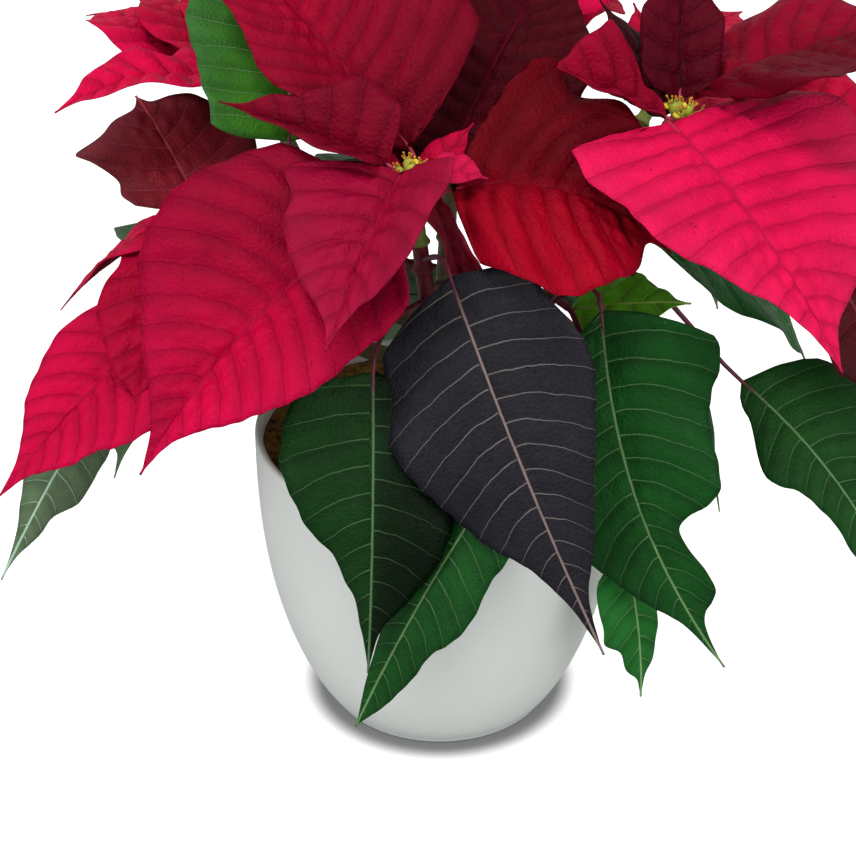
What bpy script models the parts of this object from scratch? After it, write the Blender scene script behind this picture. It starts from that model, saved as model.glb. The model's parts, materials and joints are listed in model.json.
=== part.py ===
# Potted poinsettia: a smooth white pot filled with soil, a branched woody stem,
# leafy stems, and on each of them a rosette of red bracts round a knot of small
# flowers. Metres, +Z up, origin on the floor under the middle of the pot.

import math
import random

import bmesh
import bpy
import numpy as np
from mathutils import Vector

POT_HEIGHT = 0.118
POT_RIM_RADIUS = 0.070
POT_FOOT_RADIUS = 0.042
POT_WALL = 0.0028
POT_BASE = 0.0055
POT_BELLY = 2.5
POT_SHOULDER = 1.2
POT_SEGMENTS = 40
POT_ROWS = 8

POT_CROWDING = 1.6
FOOT_BEVEL = (0.002, 0.0008)
LIP_TURNS = (0.0, 0.8, math.pi / 2)

SOIL_EDGE = 0.1115
SOIL_MOUND = 0.003
SOIL_RELIEF = 0.0012
SOIL_RINGS = 5
HOLE_DEPTH = 0.08

GAP = 0.0003
TRUNK_RADIUS = 0.0062
TRUNK_FOOT = 0.078
TRUNK_TOP = 0.150
SHOOT_RADIUS = 0.0031
FORK_LENGTH = 0.20
HUB_LENGTH = 0.026
HUB_RADIUS = 0.0027

BRACT_THICKNESS = 0.0007
LEAF_THICKNESS = 0.0008
PETIOLE_RADIUS = 0.0013
BLADE_ROWS = (0.0, 0.14, 0.30, 0.46, 0.66, 0.86, 1.0)
BRACT_ROWS = (0.0, 0.20, 0.42, 0.72, 1.0)
SMALL_ROWS = (0.0, 0.25, 0.55, 1.0)
BLADE_COLUMNS = (-1.0, -0.5, 0.0, 0.5, 1.0)
VEIN_CURVE = 1.7

FLOWER_COUNT = 6
FLOWER_RADIUS = 0.0021
FLOWER_LENGTH = 0.0052

SEED = 25


# Outlines: where each edge swells or draws in, as place, amount, spread and side
SHOULDERED = ((0.40, 0.16, 0.10, 1), (0.36, 0.16, 0.10, -1))
PLAIN = ()
EDGE_PLACES = (0.06, 0.22, 0.38, 0.54, 0.70)
EDGE_SPREAD = 0.10


def edges(left, right):
    """An outline given as how far each edge swells at the edge places."""
    swells = []
    for sizes, side in ((left, 1), (right, -1)):
        swells += [(place, size, EDGE_SPREAD, side) for place, size in zip(EDGE_PLACES, sizes)]
    return tuple(swells)


def blade(root, tip, width, bow=30, roll=0, fold=12, curl=-15, **more):
    """A leaf or bract, from where its stalk meets it to its tip.

    bow is how far it arches in degrees, roll lifts its left side, fold lifts
    both sides from the midrib and curl bends each side on towards its edge."""
    shape = dict(root=root, tip=tip, width=width, bow=bow, roll=roll, fold=fold, curl=curl)
    shape.update(twist=0, sway=0, skew=0, wave=0.08, waves=2.2, phase=0.0, up=0.5, lean=82)
    shape.update(start=0.05, early=0.45, late=1.5, drip=0.35, lobes=SHOULDERED)
    shape.update(more)
    return shape


# Each shoot leaves the trunk at its fork, turns at its elbow and ends under its rosette
SHOOTS = {
    "front": dict(fork=0.150, elbow=(-0.004, -0.022, 0.172), crown=(-0.0075, -0.025, 0.2075)),
    "right": dict(fork=0.146, elbow=(0.050, 0.002, 0.168), crown=(0.0745, 0.001, 0.2195)),
    "left": dict(fork=0.142, elbow=(-0.046, 0.000, 0.148), crown=(-0.064, 0.014, 0.176)),
    "back_left": dict(fork=0.147, elbow=(-0.038, 0.040, 0.170), crown=(-0.060, 0.063, 0.211)),
    "back": dict(fork=0.151, elbow=(0.004, 0.058, 0.180), crown=(0.006, 0.090, 0.226)),
    "back_right": dict(fork=0.144, elbow=(0.045, 0.050, 0.164), crown=(0.078, 0.084, 0.204)),
}

# The large bracts that shape each rosette, lowest first
BRACTS = {
    "front": {
        "low_left": blade(
            (-0.0190, -0.0393, 0.2268), (-0.1045, -0.0803, 0.1455), 0.0899, 38, -32, 20, up=0.12, lean=80,
            skew=-0.03, sway=0.0011,
            lobes=edges((0.00, -0.12, -0.02, -0.08, -0.16), (0.06, 0.09, 0.13, -0.02, -0.17)),
        ),
        "back": blade(
            (-0.0120, -0.0040, 0.2260), (-0.0060, 0.0700, 0.2640), 0.0600, 26, 0, 18, up=0.3,
        ),
        "back_right": blade(
            (0.0020, -0.0120, 0.2300), (0.0460, 0.0780, 0.2760), 0.0760, 26, 8, 20, up=0.2,
        ),
        "right": blade(
            (0.0039, -0.0317, 0.2315), (0.0793, -0.0460, 0.2140), 0.0875, 30, 35, 20, up=0.4, lean=73,
            skew=-0.05, sway=0.0069, late=1.7,
            lobes=edges((0.28, -0.18, 0.00, 0.00, 0.00), (-0.14, -0.01, 0.04, 0.04, 0.17)),
        ),
        "back_left": blade(
            (-0.0110, -0.0147, 0.2395), (-0.0890, 0.0799, 0.2929), 0.0779, 30, -20, 30, up=0.6, start=0.1,
            lean=73, skew=-0.28, sway=0.0046,
            lobes=edges((-0.45, 0.12, 0.05, 0.25, -0.01), (0.05, -0.13, 0.00, 0.00, 0.00)),
        ),
        "flap": blade(
            (-0.0136, -0.0338, 0.2384), (-0.0387, -0.0910, 0.2004), 0.0750, 30, 12, 33, up=0.45,
            start=0.1, lean=81, skew=0.08, sway=0.0011,
            lobes=edges((-0.07, -0.27, 0.01, -0.13, -0.31), (0.20, -0.13, -0.04, -0.09, -0.19)),
        ),
        "left_fold": blade(
            (-0.0187, -0.0257, 0.2382), (-0.0779, -0.0051, 0.2528), 0.0428, 12, -24, 53, up=0.7,
            start=0.12, lean=90, skew=-0.02, sway=0.0008,
            lobes=edges((-0.11, 0.00, 0.01, 0.00, 0.02), (-0.01, 0.20, -0.08, -0.13, -0.02)),
        ),
        "curled": blade(
            (-0.0040, -0.0310, 0.2380), (0.0160, -0.0390, 0.2390), 0.0160, 24, 20, 20, up=0.72,
            lobes=PLAIN,
        ),
        "under": blade(
            (-0.0030, -0.0165, 0.2230), (0.0110, -0.0110, 0.1660), 0.0500, 14, 0, 8, up=0.25, start=0.1,
            lobes=PLAIN,
        ),
    },
    "right": {
        "front": blade(
            (0.0801, -0.0125, 0.2477), (0.1344, -0.0884, 0.1912), 0.1272, 44, 0, 8, up=0.3, start=0.12,
            lean=97, skew=0.19, sway=-0.0031,
            lobes=edges((-0.35, -0.05, 0.00, -0.11, -0.08), (-0.08, -0.19, 0.01, -0.22, -0.30)),
        ),
        "left_fold": blade(
            (0.0787, -0.0088, 0.2486), (0.0397, -0.0166, 0.2703), 0.0321, 8, -28, 50, up=0.7, start=0.02,
            lean=75, skew=-0.02, sway=0.0015, early=0.9, late=1.1,
            lobes=edges((-0.06, -0.19, 0.07, 0.03, -0.01), (-0.18, -0.45, 0.50, 0.04, -0.10)),
        ),
        "back_right": blade(
            (0.0906, 0.0107, 0.2494), (0.1796, 0.0188, 0.2703), 0.0780, 34, -2, 16, up=0.35, skew=-0.11,
            sway=-0.0004, lobes=edges((-0.44, 0.06, 0.15, 0.00, 0.00), (-0.45, 0.45, 0.03, 0.00, 0.00)),
        ),
        "upright": blade(
            (0.0850, 0.0080, 0.2480), (0.0860, 0.0440, 0.2960), 0.0300, 16, 0, 24, up=0.8,
        ),
    },
    "left": {
        "low_left": blade(
            (-0.0797, -0.0126, 0.1890), (-0.1592, -0.0609, 0.1225), 0.0654, 24, -18, 14, up=0.2,
            start=0.03, lean=71, skew=0.13, sway=0.0022,
            lobes=edges((0.00, -0.07, -0.02, -0.18, -0.16), (0.01, -0.21, 0.03, 0.05, -0.12)),
        ),
        "middle": blade(
            (-0.0783, -0.0061, 0.1998), (-0.1064, -0.0627, 0.1539), 0.0616, 34, -10, 14, up=0.5, lean=78,
            sway=-0.0014, lobes=edges((0.00, 0.00, 0.00, 0.00, 0.00), (0.03, -0.14, 0.03, -0.02, 0.01)),
        ),
        "far_left": blade(
            (-0.0830, 0.0060, 0.2020), (-0.1400, 0.0000, 0.1670), 0.0420, 44, 16, 14, up=0.7,
        ),
    },
    "back_left": {
        "left_fold": blade(
            (-0.0785, 0.0512, 0.2347), (-0.1395, 0.0200, 0.2371), 0.0425, 36, 0, 24, up=0.5, start=0.02,
            lean=84, skew=0.01, sway=-0.0049, early=0.3, late=1.3,
            lobes=edges((0.00, 0.09, 0.03, -0.01, 0.06), (0.20, -0.37, -0.03, 0.00, 0.00)),
        ),
    },
    "back": {},
    "back_right": {},
}

# Rings of further bracts by rule: headings in degrees, place up the hub, stalk, length, width, pitch, bow
TIERS = {
    "front": [
        ((150, 35), 0.6, 0.007, 0.026, 0.015, 42, 16),
    ],
    "right": [
        ((-14, 34), 0.1, 0.016, 0.080, 0.056, -22, 40),
        ((142,), 0.7, 0.008, 0.050, 0.036, 54, 16),
    ],
    "left": [
        ((292,), 0.4, 0.014, 0.066, 0.046, 4, 30),
        ((-60, 60), 0.6, 0.007, 0.030, 0.018, 34, 20),
    ],
    "back_left": [
        ((92, 130), 0.3, 0.018, 0.100, 0.070, 0, 44),
        ((84, 136), 0.5, 0.010, 0.070, 0.050, 12, 32),
        ((20, 260), 0.6, 0.007, 0.032, 0.020, 38, 20),
    ],
    "back": [
        ((62, 100), 0.1, 0.018, 0.108, 0.072, -8, 44),
        ((28, 74, 124), 0.4, 0.012, 0.078, 0.054, 10, 32),
        ((-10, 220), 0.6, 0.007, 0.034, 0.022, 40, 20),
    ],
    "back_right": [
        ((12, 46, 84), 0.1, 0.018, 0.102, 0.070, -18, 44),
        ((18, 62), 0.5, 0.010, 0.074, 0.052, 6, 32),
        ((110, 250), 0.6, 0.007, 0.032, 0.020, 36, 20),
    ],
}

# Green leaves of each shoot; up is how far along the shoot the stalk starts
LEAVES = {
    "front": {
        "dark": blade(
            (0.0031, -0.0541, 0.2094), (0.0569, -0.1071, 0.0881), 0.0721, 22, 54, 8, up=0.9, start=0.12,
            lean=80, skew=-0.08, sway=-0.0063,
            lobes=edges((-0.11, 0.14, 0.04, -0.02, -0.03), (-0.10, 0.09, 0.04, 0.05, -0.18)),
        ),
        "deep_green": blade(
            (-0.0237, -0.0600, 0.1749), (-0.0260, -0.0940, 0.0707), 0.0591, 36, -16, 8, up=0.6, start=0.1,
            lean=84, skew=0.07, sway=0.0014,
            lobes=edges((-0.12, 0.00, 0.09, 0.14, 0.11), (0.09, 0.20, 0.07, -0.25, -0.40)),
        ),
        "low_left": blade(
            (0.0210, -0.0726, 0.1411), (-0.0309, -0.0866, 0.0410), 0.0344, 30, -39, 8, up=0.3, lean=75,
            skew=0.3, sway=0.0047, late=1.2, drip=0,
            lobes=edges((0.04, -0.17, -0.03, -0.21, -0.11), (0.00, 0.00, 0.00, 0.05, -0.03)),
        ),
        "upper_left": blade(
            (-0.0547, 0.0109, 0.2302), (-0.0811, 0.1155, 0.2879), 0.0804, 26, 6, 12, up=0.8, start=0.2,
            lean=90, skew=0.03, sway=-0.0067,
            lobes=edges((-0.27, -0.12, 0.11, 0.05, 0.00), (-0.04, 0.00, 0.00, 0.00, 0.00)),
        ),
    },
    "right": {
        "lobed": blade(
            (0.0563, -0.0429, 0.1901), (0.1037, -0.0758, 0.0599), 0.0650, 18, 58, 8, up=0.3, start=0.1,
            lean=70, skew=-0.06, sway=-0.0147,
            lobes=edges((0.41, 0.05, 0.19, -0.45, 0.25), (-0.45, -0.01, 0.17, 0.01, -0.02)),
        ),
        "low_small": blade(
            (0.0675, -0.0503, 0.0956), (0.0756, -0.0562, 0.0320), 0.0309, 24, 18, 8, up=0.45, lean=75,
            skew=-0.03, sway=-0.0014,
            lobes=edges((0.00, -0.01, -0.26, -0.21, 0.07), (0.00, 0.03, 0.15, -0.19, 0.07)),
        ),
        "bright_small": blade(
            (0.0485, -0.0005, 0.1672), (0.0902, -0.0198, 0.1803), 0.0315, 14, 25, 10, up=0.45, lean=74,
            skew=-0.02, sway=-0.0001,
            lobes=edges((-0.10, -0.02, -0.03, -0.25, -0.08), (0.12, -0.27, -0.17, -0.03, -0.07)),
        ),
        "far_right": blade(
            (0.1127, -0.0030, 0.1383), (0.1747, -0.0354, 0.0613), 0.0420, 30, 36, 8, up=0.6, lean=74,
            skew=0.19, sway=0.0008,
            lobes=edges((0.18, 0.36, 0.00, 0.00, 0.00), (-0.45, 0.26, -0.11, -0.12, 0.46)),
        ),
        "edge_dark": blade(
            (0.1470, 0.0000, 0.1770), (0.1670, -0.0200, 0.1320), 0.0360, 36, 20, 10, up=0.9,
        ),
    },
    "left": {
        "narrow": blade(
            (-0.1280, -0.0152, 0.1347), (-0.1631, -0.0452, 0.0776), 0.0249, 26, -39, 14, up=0.3, lean=80,
            skew=0.19, sway=0.002,
            lobes=edges((0.01, -0.07, 0.04, -0.27, -0.10), (0.00, 0.00, 0.15, 0.01, -0.22)),
        ),
        "dusky": blade(
            (-0.0905, 0.0361, 0.1908), (-0.1166, 0.0757, 0.2192), 0.0637, 26, -10, 10, up=0.9, lean=78,
            sway=0.0003, lobes=edges((-0.15, -0.26, 0.24, 0.00, 0.00), (0.01, 0.00, 0.00, 0.00, 0.00)),
        ),
    },
    "back_left": {},
    "back": {},
    "back_right": {},
}

# Rings of further green leaves by rule, given like the bracts' rings
LEAF_TIERS = {
    "left": [((166,), 0.5, 0.034, 0.084, 0.054, -44, 56)],
    "back_left": [
        ((136, 170), 0.6, 0.036, 0.104, 0.066, -44, 56),
        ((96,), 0.3, 0.036, 0.100, 0.060, -58, 56),
    ],
    "back": [
        ((104, 76), 0.6, 0.036, 0.106, 0.068, -44, 56),
        ((90,), 0.3, 0.036, 0.100, 0.060, -62, 56),
    ],
    "back_right": [
        ((14, 48), 0.6, 0.036, 0.104, 0.066, -46, 56),
        ((-4, 38), 0.3, 0.040, 0.096, 0.058, -58, 56),
    ],
}


def make_material(name, colour, roughness):
    """colour is an sRGB hex value."""
    channels = [int(colour[i:i + 2], 16) / 255 for i in (1, 3, 5)]
    linear = [c / 12.92 if c <= 0.04045 else ((c + 0.055) / 1.055) ** 2.4 for c in channels]
    material = bpy.data.materials.new(name)
    material.use_nodes = True
    shader = material.node_tree.nodes["Principled BSDF"]
    shader.inputs["Base Color"].default_value = (*linear, 1.0)
    shader.inputs["Roughness"].default_value = roughness
    return material


def evaluated_mesh(obj):
    graph = bpy.context.evaluated_depsgraph_get()
    return bpy.data.meshes.new_from_object(obj.evaluated_get(graph))


def add_object(name, mesh, collection):
    obj = bpy.data.objects.new(name, mesh)
    collection.objects.link(obj)
    return obj


def bezier(points, t):
    """Point at t on the Bezier curve through the given control points."""
    points = [np.asarray(point, float) for point in points]
    while len(points) > 1:
        points = [a + (b - a) * t for a, b in zip(points, points[1:])]
    return points[0]


def unit(vector):
    return np.asarray(vector, float) / np.linalg.norm(vector)


def shoot_path(shoot):
    return (0.0, 0.004, shoot["fork"]), shoot["elbow"], shoot["crown"]


def hub_point(shoot, up):
    """Point on the axis of the rosette's hub; up runs from 0 at its foot to 1 at its top."""
    path = shoot_path(shoot)
    direction = unit(np.subtract(path[2], path[1]))
    return np.asarray(path[2]) + direction * (GAP + HUB_LENGTH * up)


def spine(shape, count=33):
    """Points along the midrib, with the sideways and upward directions at each of them."""
    root = np.asarray(shape["root"], float)
    tip = np.asarray(shape["tip"], float)
    chord = tip - root
    reach = np.linalg.norm(chord)
    heading = math.atan2(chord[1], chord[0])
    s = np.linspace(0.0, 1.0, count)
    slope = math.atan2(chord[2], math.hypot(chord[0], chord[1]))
    pitch = slope + math.radians(shape["bow"]) * (0.5 - s)
    level = np.cos(pitch)
    ahead = np.stack([level * math.cos(heading), level * math.sin(heading), np.sin(pitch)], -1)
    flat_side = np.stack([-math.sin(heading) + 0 * s, math.cos(heading) + 0 * s, 0 * s], -1)
    flat_up = np.cross(ahead, flat_side)
    turn = np.radians(shape["roll"] + shape["twist"] * s)[:, None]
    side = flat_side * np.cos(turn) + flat_up * np.sin(turn)
    up = flat_up * np.cos(turn) - flat_side * np.sin(turn)
    points = np.zeros((count, 3))
    points[1:] = np.cumsum((ahead[1:] + ahead[:-1]) / 2, axis=0) * reach / (count - 1)
    points += root
    points += s[:, None] * (tip - points[-1])
    points += side * (shape["sway"] * 4 * s * (1 - s))[:, None]
    return points, side, up


def half_width(shape, q, sign):
    """Half width of the blade on one side, for the vein that leaves the midrib at q."""
    early, late, start = shape["early"], shape["late"], shape["start"]
    widest = max(0.0, (early - late * start) / (early + late))
    top = (widest + start) ** early * (1 - widest) ** late
    half = shape["width"] / 2 * (q + start) ** early * np.clip(1 - q, 0, 1) ** late / top
    half = half * (1 + shape["skew"] * sign)
    for where, size, spread, side in shape["lobes"]:
        half = half * (1 + size * (side == sign) * np.exp(-((q - where) / spread) ** 2))
    half = half * (1 - shape["drip"] * np.exp(-((q - 0.86) / 0.12) ** 2))
    return np.maximum(half, 0.0004)


def blade_grid(shape, rows, columns):
    """Points of the blade: rows follow the side veins, columns run from one edge to the other."""
    points, side, up = spine(shape)
    length = np.linalg.norm(np.diff(points, axis=0), axis=1).sum()
    grid = np.zeros((len(rows), len(columns), 3))
    for j, u in enumerate(columns):
        sign = 1 if u >= 0 else -1
        q = np.asarray(rows, float)
        half = half_width(shape, q, sign)
        lean = np.radians(shape["lean"] - 40 * q)
        forward = half / length / np.tan(lean)
        s = np.clip(q + forward * abs(u) ** VEIN_CURVE, 0, 1)
        lift = np.radians(shape["fold"] + shape["curl"] * abs(u) / 2)
        across = half * u * np.cos(lift)
        height = half * abs(u) * np.sin(lift)
        turns = shape["waves"] * (q + forward) + shape["phase"] + (0.35 if sign < 0 else 0.0)
        height = height + shape["wave"] * half * u * u * np.sin(2 * np.pi * turns)
        place = s * (len(points) - 1)
        low = np.minimum(place.astype(int), len(points) - 2)
        part = (place - low)[:, None]
        grid[:, j] = points[low] * (1 - part) + points[low + 1] * part
        grid[:, j] += (side[low] * (1 - part) + side[low + 1] * part) * across[:, None]
        grid[:, j] += (up[low] * (1 - part) + up[low + 1] * part) * height[:, None]
    return grid


def rows_for(shape):
    if shape["width"] < 0.030:
        return SMALL_ROWS
    return BLADE_ROWS if shape["width"] > 0.072 else BRACT_ROWS


def add_blade(name, shape, thickness, collection):
    """A thin closed blade: triangles on the grid, thickened evenly to both sides."""
    grid = blade_grid(shape, rows_for(shape), BLADE_COLUMNS)
    count, width = grid.shape[:2]
    faces = []
    for i in range(count - 1):
        for j in range(width - 1):
            a, b, c, d = i * width + j, i * width + j + 1, (i + 1) * width + j + 1, (i + 1) * width + j
            faces += [(a, d, b), (b, d, c)] if j < width // 2 else [(a, d, c), (a, c, b)]
    mesh = bpy.data.meshes.new(name)
    mesh.from_pydata(grid.reshape(-1, 3).tolist(), [], faces)
    sheet = add_object(name, mesh, collection)
    thicken = sheet.modifiers.new("Thickness", "SOLIDIFY")
    thicken.thickness = thickness
    thicken.offset = 0.0
    sheet.data = evaluated_mesh(sheet)
    sheet.modifiers.clear()
    return sheet


def add_tube(name, points, radii, collection, resolution=0):
    """A tapering tube along the points, made a closed mesh."""
    curve = bpy.data.curves.new(name, "CURVE")
    curve.dimensions = "3D"
    curve.bevel_depth = 1.0
    curve.bevel_resolution = resolution
    curve.use_fill_caps = True
    line = curve.splines.new("POLY")
    line.points.add(len(points) - 1)
    for knot, point, radius in zip(line.points, points, radii):
        knot.co = (*point, 1.0)
        knot.radius = radius
    wire = add_object(name + " curve", curve, collection)
    bpy.context.view_layer.update()
    mesh = evaluated_mesh(wire)
    bpy.data.objects.remove(wire)
    welded = bmesh.new()
    welded.from_mesh(mesh)
    bmesh.ops.remove_doubles(welded, verts=welded.verts, dist=1e-6)
    bmesh.ops.recalc_face_normals(welded, faces=welded.faces)
    welded.to_mesh(mesh)
    welded.free()
    return add_object(name, mesh, collection)


def keep_outer_shell(mesh):
    """Fills sealed hollows and drops loose scraps: only the largest outward shell stays."""
    work = bmesh.new()
    work.from_mesh(mesh)
    bmesh.ops.triangulate(work, faces=work.faces)
    waiting, shells = set(work.faces), []
    while waiting:
        front = [waiting.pop()]
        shell = list(front)
        while front:
            near = {other for edge in front.pop().edges for other in edge.link_faces} & waiting
            waiting -= near
            front.extend(near)
            shell.extend(near)
        corners = [[vertex.co for vertex in face.verts] for face in shell]
        shells.append((sum(a.dot(b.cross(c)) for a, b, c in corners), shell))
    outer = max(shells, key=lambda entry: entry[0])[1]
    scraps = [face for _, shell in shells if shell is not outer for face in shell]
    bmesh.ops.delete(work, geom=scraps, context="FACES")
    work.to_mesh(mesh)
    work.free()


def fuse(name, pieces, material, collection):
    """One closed body from pieces that run into each other."""
    first, group = pieces[0], bpy.data.collections.new(name + " pieces")
    bpy.context.scene.collection.children.link(group)
    for piece in pieces[1:]:
        collection.objects.unlink(piece)
        group.objects.link(piece)
    join = first.modifiers.new("Join", "BOOLEAN")
    join.operation = "UNION"
    join.operand_type = "COLLECTION"
    join.collection = group
    join.solver = "EXACT"
    bpy.context.view_layer.update()
    mesh = evaluated_mesh(first)
    for piece in list(group.objects) + [first]:
        bpy.data.objects.remove(piece)
    bpy.data.collections.remove(group)
    keep_outer_shell(mesh)
    mesh.materials.clear()
    mesh.materials.append(material)
    mesh.name = name
    return add_object(name, mesh, collection)


def petiole_path(start, shape):
    """From the stem's axis, rising outwards, and on under the root of the blade."""
    points = spine(shape)[0]
    root, ahead = points[0], unit(points[2] - points[0])
    span = np.linalg.norm(root - start)
    outward = unit((root - start) * (1, 1, 0) + (0, 0, 0.4 * span))
    knots = (start, start + outward * span * 0.35, root - ahead * span * 0.35, root)
    steps = (0, 0.5, 1) if span > 0.026 else (0, 1)
    path = [bezier(knots, t) for t in steps]
    path.append(points[5])
    return path


def add_petiole(name, start, shape, radius, collection):
    path = petiole_path(np.asarray(start, float), shape)
    radii = np.linspace(radius, radius * 0.55, len(path))
    return add_tube(name, path, radii, collection)


def tier_shapes(origin, tier, chance):
    """Blades by rule: each stands out from origin(up) at its heading, with small seeded changes."""
    headings, up, stalk, length, width, pitch, bow = tier
    shapes = []
    for heading in headings:
        turn = math.radians(heading + chance.uniform(-5, 5))
        slope = math.radians(pitch + chance.uniform(-5, 5))
        size = chance.uniform(0.92, 1.08)
        out = np.array([math.cos(turn), math.sin(turn), 0.0])
        rise = math.radians(pitch + bow / 2)
        start = origin(up)
        root = start + stalk * (out * math.cos(rise) + np.array([0, 0, math.sin(rise)]))
        tip = root + length * size * (out * math.cos(slope) + np.array([0, 0, math.sin(slope)]))
        more = dict(up=up, phase=chance.random(), twist=chance.uniform(-4, 8))
        shapes.append(blade(root, tip, width * size, bow, chance.uniform(6, 14), 12, **more))
    return shapes


def rosette_shapes(name):
    """All the bracts of one rosette: those given one by one, then the ruled ones."""
    chance = random.Random(SEED + len(name))
    shapes = dict(BRACTS[name])
    for ring, tier in enumerate(TIERS[name]):
        for k, shape in enumerate(tier_shapes(lambda up: hub_point(SHOOTS[name], up), tier, chance)):
            shapes[f"ring{ring}_{k}"] = shape
    return shapes


def leaf_shapes(name):
    """All the green leaves of one shoot."""
    chance = random.Random(2 * SEED + len(name))
    shapes = dict(LEAVES[name])
    for ring, tier in enumerate(LEAF_TIERS.get(name, [])):
        for k, shape in enumerate(tier_shapes(lambda up: bezier(shoot_path(SHOOTS[name]), up), tier, chance)):
            shapes[f"ring{ring}_{k}"] = shape
    return shapes


def pot_radius(z):
    s = z / POT_HEIGHT
    swell = (1 - (1 - s) ** POT_BELLY) ** (1 / POT_SHOULDER)
    return POT_FOOT_RADIUS + (POT_RIM_RADIUS - POT_FOOT_RADIUS) * swell


def turned(name, profile, segments, collection):
    """Turns an x-z profile, running down its outer side, about the Z axis."""
    mesh = bpy.data.meshes.new(name)
    points = [(x, 0.0, z) for x, z in profile]
    mesh.from_pydata(points, [(i, i + 1) for i in range(len(points) - 1)], [])
    obj = add_object(name, mesh, collection)
    screw = obj.modifiers.new("Turn", "SCREW")
    screw.steps = segments
    screw.render_steps = segments
    screw.use_merge_vertices = True
    screw.merge_threshold = 0.00001
    obj.data = evaluated_mesh(obj)
    obj.modifiers.clear()
    return obj


def pot_rows():
    """Heights of the rings of the pot's wall, from below the lip down to above the foot."""
    return [POT_HEIGHT * (1 - k / POT_ROWS) ** POT_CROWDING for k in range(1, POT_ROWS)]


def build_pot(collection):
    """An egg-shaped cup with a flat foot and a rounded lip."""
    lip = POT_WALL / 2
    profile = [(POT_RIM_RADIUS - lip + lip * math.sin(a), POT_HEIGHT - lip + lip * math.cos(a))
               for a in LIP_TURNS]
    profile += [(pot_radius(z), z) for z in pot_rows()]
    inset, rise = FOOT_BEVEL
    profile += [(POT_FOOT_RADIUS, rise), (POT_FOOT_RADIUS - inset, 0.0), (0.0, 0.0), (0.0, POT_BASE)]
    profile += [(pot_radius(POT_BASE) - POT_WALL - 0.001, POT_BASE)]
    profile += [(pot_radius(z) - POT_WALL, z) for z in reversed(pot_rows()) if z > POT_BASE + 0.003]
    inner = POT_RIM_RADIUS - POT_WALL
    profile += [(inner, POT_HEIGHT - lip), (inner + 0.0004, POT_HEIGHT - 0.0004)]
    profile += [profile[0]]
    pot = turned("pot", profile, POT_SEGMENTS, collection)
    pot.data.materials.append(make_material("white glazed stoneware", "#dcdfe0", 0.35))
    pot.data.shade_smooth()
    pot.data.set_sharp_from_angle(angle=math.radians(40))
    return pot


def soil_height(x, y):
    """Top of the soil: a low mound with crumbs and hollows."""
    r = math.hypot(x, y) / POT_RIM_RADIUS
    lumps = math.sin(x * 410 + 1.3) * math.cos(y * 370 - 0.4) + 0.7 * math.sin(x * 190 - y * 260 + 2.0)
    return SOIL_EDGE + SOIL_MOUND * (1 - r * r) + SOIL_RELIEF * lumps * min(1.0, 6 * (1 - r))


def build_soil(collection):
    """Fills the pot, with a plain hole for the trunk."""
    inside = POT_WALL + GAP
    edge = pot_radius(SOIL_EDGE) - inside
    foot = POT_BASE + GAP
    profile = [(edge * k / SOIL_RINGS, SOIL_EDGE) for k in range(SOIL_RINGS + 1)]
    profile += [(pot_radius(z) - inside, z) for z in pot_rows() if foot + 0.003 < z < SOIL_EDGE - 0.003]
    profile += [(pot_radius(foot) - inside - 0.002, foot), (0.0, foot)]
    soil = turned("soil", profile, POT_SEGMENTS, collection)
    for vertex in soil.data.vertices:
        if vertex.co.z > SOIL_EDGE - 0.0005:
            vertex.co.z = soil_height(vertex.co.x, vertex.co.y)
    bpy.ops.mesh.primitive_cylinder_add(vertices=12, radius=TRUNK_RADIUS + 3 * GAP, depth=HOLE_DEPTH)
    hole = bpy.context.object
    hole.location = (0.0, 0.0, TRUNK_FOOT - GAP + HOLE_DEPTH / 2)
    hole.hide_render = True
    hole.display_type = "WIRE"
    cut = soil.modifiers.new("Stem hole", "BOOLEAN")
    cut.operation = "DIFFERENCE"
    cut.object = hole
    bpy.context.view_layer.update()
    soil.data = evaluated_mesh(soil)
    soil.modifiers.clear()
    bpy.data.objects.remove(hole)
    soil.data.materials.append(make_material("potting soil", "#4a3218", 0.95))
    return soil


def build_trunk(collection):
    """The woody stem with a stub for each shoot."""
    path = [(0.0, 0.0, TRUNK_FOOT), (0.0, 0.0, 0.112), (0.0012, 0.002, 0.130), (0.0, 0.004, TRUNK_TOP)]
    radii = [TRUNK_RADIUS, TRUNK_RADIUS, TRUNK_RADIUS * 0.94, TRUNK_RADIUS * 0.8]
    pieces = [add_tube("trunk", path, radii, collection, 2)]
    for name, shoot in SHOOTS.items():
        knots = shoot_path(shoot)
        stub = [bezier(knots, FORK_LENGTH * t) for t in (0.0, 0.5, 1.0)]
        pieces.append(add_tube("stub " + name, stub, [SHOOT_RADIUS * 1.2] * 3, collection, 1))
    return fuse("main_stem", pieces, make_material("woody stem", "#6b5638", 0.8), collection)


def build_shoot(name, material, collection):
    """One green stem with its leaves."""
    shoot = SHOOTS[name]
    knots = shoot_path(shoot)
    first = FORK_LENGTH + GAP / np.linalg.norm(np.subtract(knots[1], knots[0])) / 1.2
    stem = [bezier(knots, first + (1 - first) * k / 5) for k in range(6)]
    pieces = [add_tube("stem", stem, np.linspace(SHOOT_RADIUS * 1.1, SHOOT_RADIUS * 0.9, 6), collection, 1)]
    for key, shape in leaf_shapes(name).items():
        start = bezier(knots, max(shape["up"], FORK_LENGTH + 0.08))
        pieces.append(add_petiole(key + " petiole", start, shape, PETIOLE_RADIUS, collection))
        pieces.append(add_blade(key, shape, LEAF_THICKNESS, collection))
    return fuse("leafy_stem_" + name, pieces, material, collection)


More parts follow.
